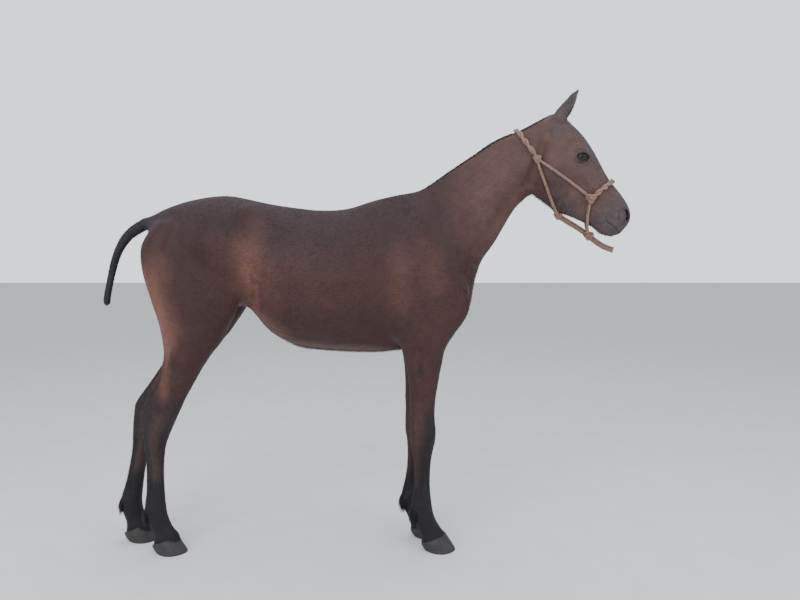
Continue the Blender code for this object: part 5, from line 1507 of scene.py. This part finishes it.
ROPE_COLOUR = (0.225, 0.125, 0.092)
HOOF_COLOUR = (0.036, 0.033, 0.034)
LID_COLOUR = (0.030, 0.025, 0.026)

COAT = coat_material("bay_coat", 0.50)
TUFT = coat_material("bay_tufts", 0.10)
WET = wet_skin_material()
EYE_GLOSS = eye_material()
HORN = hoof_material()
ROPE = rope_material()

GAPS_LIGHTER = 1.06  # the skin is this much lighter, as the tufts shade it
FLESH = ["head", "neck", "torso", "tail", "foreleg_right", "foreleg_left", "hindleg_right",
         "hindleg_left", "ear_right", "ear_left"]


def plain_colour(obj, colour):
    give_colour(obj.data, np.tile(colour, (len(obj.data.vertices), 1)))


def rope_colour_and_shade(obj):
    """Painted shade: darker where the strands of a rope meet, lighter on their crowns. Each strand
    has as many sides as the strand shade has entries.
    """
    count = len(obj.data.vertices)
    strand_shade = np.resize(PAINTED_STRAND_SHADE, count)[:, None] * (0.70 if obj.name in THICKER else 1.0)
    give_colour(obj.data, np.array(ROPE_COLOUR) * strand_shade)


def add_skin(body):
    """The finished skin with its colours, as far under the coat's outside as the hair is deep."""
    skin = make_skin(body)
    triangulate = skin.modifiers.new("Triangulate", "TRIANGULATE")
    triangulate.min_vertices = 4
    apply_modifiers(skin)
    points, normals = points_of(skin), normals_of(skin)
    give_colour(skin.data, coat_colour(points, normals) * GAPS_LIGHTER)
    set_points(skin, points - normals * coat_depth(points)[:, None])
    return skin


def region(x0, x1, z0, z1, soft=0.02):
    """A weight that is 1 inside a box seen from the side, and fades at its edges."""
    def weight(points, normals):
        x, z = unshifted(points), points[:, 2]
        return (between(x, x0 - soft, x0) * between(-x, -x1 - soft, -x1)
                * between(z, z0 - soft, z0) * between(-z, -z1 - soft, -z1))
    return weight


# Longer hair where the coat stands out: the box seen from the side, the axis and sign of the
# way that the skin faces there, the range over which that counts, and how much hair there is.
FRINGES = [
    # belly: its pale shade is painted backlight on the hair along the bottom edge
    ("belly", (-0.60, 0.02, 0.78, 0.99), 2, -1, (0.86, 0.98), 4200, 0.016, 0.0005, 0.50,
     (0.110, 0.075, 0.062)),
    ("throat", (0.50, 0.66, 1.38, 1.52), 2, -1, (0.1, 0.6), 1600, 0.015, 0.0005, 0.50, None),
    ("jaw", (0.62, 0.84, 1.27, 1.42), 2, -1, (0.3, 0.8), 1400, 0.011, 0.0004, 0.45,
     (0.140, 0.105, 0.098)),
    ("breast", (0.15, 0.34, 0.86, 1.20), 0, 1, (0.3, 0.8), 1500, 0.016, 0.0007, 0.30, None),
]


def add_coat(skin):
    """All the coat's pieces, still on the straight mare."""
    rng = np.random.default_rng(SEED)
    made = []

    def grow(name, weight, count, length, width, lift, way=None, **others):
        roots, normals = picked(skin, weight, count, rng)
        ways = way(roots, normals) if way else lie_of(roots, normals)
        made.append(tufts(name, roots, normals, ways, length, width, lift, rng, **others))

    def towards(way, out, wild=0.0):
        """Hair that lies along way and out of the skin, more or less wildly."""
        def ways(points, normals):
            chance = rng.normal(0, wild, (len(points), 3)) if wild else 0.0
            return unit(np.array(way) + normals * out + chance)
        return ways

    def body(points, side):
        x, y, z = points.T
        return ((x < 0.10) & (z > 0.80) & (y * side > 0) & (x > -1.04)) * 1.0

    def neck(points, normals):
        x, z = points[:, 0], points[:, 2]
        return ((x >= 0.10) & (x < 0.565) & (z > 0.80)) * 1.0

    def head(points, normals):
        return ((points[:, 0] >= 0.56) * ~near_eye(points, 0.027) * 1.0
                * (1 - 0.8 * near_muzzle(points)))

    def legs(points, hind):
        x, z = points[:, 0], points[:, 2]
        return (((x <= HIND_FROM) == hind) & (z <= 0.80) & (z > 0.05)) * 1.0

    def tail(points, normals):
        return (points[:, 0] < -1.035) * (points[:, 2] > 0.95) * 1.0

    for side, label in SIDES:
        grow("coat_body_" + label, lambda points, normals: body(points, side), 19000,
             0.013, 0.0008, 0.05)
    grow("coat_neck", neck, 17000, 0.011, 0.0008, 0.05)
    grow("coat_head", head, 17000, 0.0070, 0.0005, 0.07)
    for kind, count in (("fore", 12000), ("hind", 13000)):
        grow(f"coat_{kind}_legs", lambda points, normals: legs(points, kind == "hind"), count,
             0.010, 0.0007, 0.16)
    grow("coat_tail", tail, 4500, 0.009, 0.0006, 0.25)

    for kind, box, axis, sign, (start, end), count, length, width, lift, shade in FRINGES:
        inside = region(*box)
        grow("fringe_" + kind, lambda points, normals:
             inside(points, normals) * between(sign * normals[:, axis], start, end),
             count, length, width, lift, shade=shade)

    def back_of_legs(points, normals):
        z = points[:, 2]
        return (z < 0.62) * (z > 0.20) * between(-normals[:, 0], 0.4, 0.9)

    grow("fringe_legs", back_of_legs, 2600, 0.013, 0.0005, 0.38)

    def fetlocks(points, normals):
        x, z = unshifted(points), points[:, 2]
        back = np.where(points[:, 0] < HIND_FROM, -1.030, 0.062)
        return (between(-np.abs(z - 0.158), -0.040, -0.010)
                * between(-x, -back - 0.010, -back + 0.004))

    hang = towards((-0.10, 0.0, -1.0), (0.35, 0.10, 0.0))
    grow("tufts_fetlock", fetlocks, 3200, 0.028, 0.0007, 0.12, hang, shade=BLACK, droop=1.0)

    def coronets(points, normals):
        x, z = unshifted(points), points[:, 2]
        x = np.where(x < HIND_FROM, x + HIND_HOOF_BACK, x)
        edge = 0.026 + 0.400 * (x - 0.081)
        return (z < 0.12) * between(-np.abs(z - edge - 0.010), -0.014, -0.006)

    grow("tufts_coronet", coronets, 3000, 0.014, 0.0006, 0.25, shade=SOOT)

    # The clipped mane, the forelock's stub and the hair of the ears
    def mane(points, normals):
        x, y, z = points.T
        return (between(x, 0.085, 0.125) * between(-x, -0.615, -0.600)
                * between(-np.abs(y), -0.0145, -0.010) * (z > edge_at(TRUNK, "upper", x) - 0.04)
                * (np.abs(x - CREST_TOP[0] + 0.25 * (z - CREST_TOP[1])) > 0.016))

    upright = towards((-1.0, 0.0, -0.45), 1.0, 0.04)
    grow("mane", mane, 6500, 0.0062, 0.0008, 0.0, upright, shade=BLACK, droop=1.0)

    def forelock(points, normals):
        x, y, z = points.T
        return (between(x, 0.640, 0.655) * between(-x, -0.690, -0.675) * (z > 1.73)
                * between(-np.abs(y), -0.020, -0.010))

    forward = towards((0.80, 0.0, -0.10), 0.45, 0.12)
    grow("forelock", forelock, 200, 0.010, 0.0008, 0.0, forward, shade=SOOT, droop=0.6)

    def ears(points, normals):
        x, z = points[:, 0], points[:, 2]
        return between(z, 1.775, 1.80) * between(x, 0.63, 0.64)

    def in_ears(points, normals):
        return ears(points, normals) * between(normals[:, 0], 0.15, 0.5)

    grow("coat_ears", ears, 3600, 0.0075, 0.0005, 0.30)
    grow("fringe_ears", in_ears, 700, 0.0055, 0.0005, 0.1,
         towards((0.55, 0.0, 0.55), 0.0, 0.25), shade=(0.12, 0.10, 0.10))
    return made


def hair_strands(name, rows, shade):
    """Single long hairs. Each row has a root, its way, its length, its radius and its droop."""
    pieces = []
    for root, way, length, radius, droop in rows:
        centres = [root + way * length * share + Vector((0, 0, -droop)) * length * share ** 2
                   for share in (0.0, 0.33, 0.66, 1.0)]
        radii = [(radius * share,) * 2 for share in (1, 0.8, 0.55, 0.15)]
        side = Vector((0.3, 1, 0.2)) if abs(way.y) < 0.7 else Vector((1, 0, 0.2))
        pieces.append(sweep(name, centres, radii, 4, side))
    obj = joined(name, pieces)
    plain_colour(obj, shade)
    layer = obj.data.uv_layers.new(name="OFBake")
    points = points_of(obj)[values(obj.data.loops, "vertex_index", np.int32, 1)]
    layer.data.foreach_set("uv", chart(points).astype(np.float32).ravel())
    return obj


LID_PLACES = 120  # round each eye, where a lash may stand
LID_EDGE = (0.0021, 0.0012)  # the two radii of the bare edge of the lids
LASH_THICKNESS, WHISKER_THICKNESS = 0.00022, 0.00025  # half of it, at the root
HAIR_ROOT = 0.001  # how far the root of a single hair is under the skin


def add_lashes(rng):
    """Long lashes on the upper lids and a few on the lower ones."""
    rows = []
    for side in (-1, 1):
        _, facing = eye_frame(side)
        edge = lid_edge(side, LID_PLACES, LASH_RADIUS)
        out = facing @ Vector((0, side, 0))
        for number in range(LID_PLACES):
            upper = 4 < number < 56
            if not upper and rng.random() > 0.10:
                continue
            forward = math.cos(2 * math.pi * number / LID_PLACES) * 0.5
            spread = facing @ Vector((forward, 0, 0))
            way = (out + spread + Vector((0, 0, -0.15 if upper else -0.9))
                   + Vector(rng.normal(0, 0.10, 3))).normalized()
            length = rng.uniform(0.012, 0.019) if upper else rng.uniform(0.005, 0.009)
            rows.append((edge[number] - out * HAIR_ROOT, way, length, LASH_THICKNESS, 0.45))
    return hair_strands("lashes", rows, BLACK)


def add_whiskers(skin, rng):
    """Sparse long hairs on the muzzle and the chin."""
    def weight(points, normals):
        return near_muzzle(points) * between(-points[:, 2], -1.40, -1.36) * (points[:, 2] > 1.2)

    roots, normals = picked(skin, weight, 50, rng)
    rows = []
    for root, normal in zip(roots, normals):
        way = Vector(normal) + Vector((0.15, 0, -0.35)) + Vector(rng.normal(0, 0.15, 3))
        rows.append((Vector(root) - Vector(normal) * HAIR_ROOT, way.normalized(),
                     rng.uniform(0.010, 0.026), WHISKER_THICKNESS, 0.30))
    return hair_strands("whiskers", rows, SOOT)


def add_lid_edges():
    """The bare dark edges of the lids."""
    pieces = []
    for side in (-1, 1):
        centre, _ = eye_frame(side)
        edge = lid_edge(side, 72, LID_EDGE_RADIUS)
        ways = [(place - centre).normalized() for place in edge]
        pieces.append(sweep("lid", edge, [LID_EDGE] * len(edge), 12, ways, closed=True))
    obj = joined("lid_edges", pieces)
    plain_colour(obj, LID_COLOUR)
    return obj


body = fine_body()
outer = surface_of(body)
courses, knots = halter_plan(outer)
skin = add_skin(body)
rng = np.random.default_rng(SEED + 1)
coat = add_coat(skin)
extras = [add_lashes(rng), add_whiskers(skin, rng)]
place(skin, COAT, FLESH, "bay_coat")
skin.name = skin.data.name = "skin"
for piece in coat + extras:
    dark = piece.name in ("mane", "forelock", "tufts_fetlock", "coat_tail", "lashes")
    place(piece, TUFT, [], "black_points" if dark else "bay_coat")
place(add_lid_edges(), WET, [], "bay_coat")
for side, label in SIDES:
    eye = make_eye("eyeball_" + label, side)
    place(eye, EYE_GLOSS, ["eye_" + label], "eye")
    for kind in ("fore", "hind"):
        hoof = make_hoof(f"horn_{kind}_{label}", side, kind == "hind")
        plain_colour(hoof, HOOF_COLOUR)
        place(hoof, HORN, [f"hoof_{kind}_{label}"], "hoof")
for name, course in courses.items():
    piece = halter_rope("halter_" + name, course)
    rope_colour_and_shade(piece)
    place(piece, ROPE, [name], "halter_rope")
for name, (centre, radii) in knots.items():
    piece = knot("halter_" + name, centre, radii)
    rope_colour_and_shade(piece)
    place(piece, ROPE, [name], "halter_rope")


def add_stage():
    """A pale floor, soft light and the camera at the photograph's angle."""
    mesh = bmesh.new()
    bmesh.ops.create_grid(mesh, x_segments=1, y_segments=1, size=30)
    floor = new_object("floor", mesh)
    tree = Nodes("pale_floor").set(Roughness=0.9)
    tree.link(tree.ramp(tree.noise(6.0, 4.0), 0.76, 0.80), tree.shader.inputs["Base Color"])
    floor.data.materials.append(tree.material)
    world = bpy.data.worlds.new("studio")
    world.use_nodes = True
    tree = world.node_tree
    background = tree.nodes["Background"]
    backdrop = tree.nodes.new("ShaderNodeBackground")
    for node, colour, strength in ((background, (0.90, 0.95, 1.0, 1.0), 0.85),
                                   (backdrop, (0.90, 0.93, 1.0, 1.0), 1.6)):
        node.inputs["Color"].default_value = colour
        node.inputs["Strength"].default_value = strength
    mixed = tree.nodes.new("ShaderNodeMixShader")
    seen = tree.nodes.new("ShaderNodeLightPath").outputs["Is Camera Ray"]
    tree.links.new(seen, mixed.inputs[0])
    tree.links.new(background.outputs[0], mixed.inputs[1])
    tree.links.new(backdrop.outputs[0], mixed.inputs[2])
    tree.links.new(mixed.outputs[0], tree.nodes["World Output"].inputs["Surface"])
    bpy.context.scene.world = world
    for name, where, size, power in (("key", (-1.6, -3.6, 3.4), 3.0, 140),
                                     ("fill", (3.2, -2.4, 2.2), 3.0, 45),
                                     ("top", (0.0, 0.4, 4.4), 4.0, 60)):
        light = bpy.data.lights.new(name, "AREA")
        light.size = size
        light.energy = power
        lamp = bpy.data.objects.new(name, light)
        lamp.location = where
        aim = Vector((0, 0, 1.0)) - lamp.location
        lamp.rotation_euler = aim.to_track_quat("-Z", "Y").to_euler()
        bpy.context.scene.collection.objects.link(lamp)
    camera = bpy.data.objects.new("camera", bpy.data.cameras.new("camera"))
    camera.data.lens = FOCAL_LENGTH
    camera.data.sensor_width = 36.0
    camera.location = CAMERA_PLACE
    camera.rotation_euler = (math.radians(90 - CAMERA_PITCH), 0, 0)
    bpy.context.scene.collection.objects.link(camera)
    bpy.context.scene.camera = camera


add_stage()
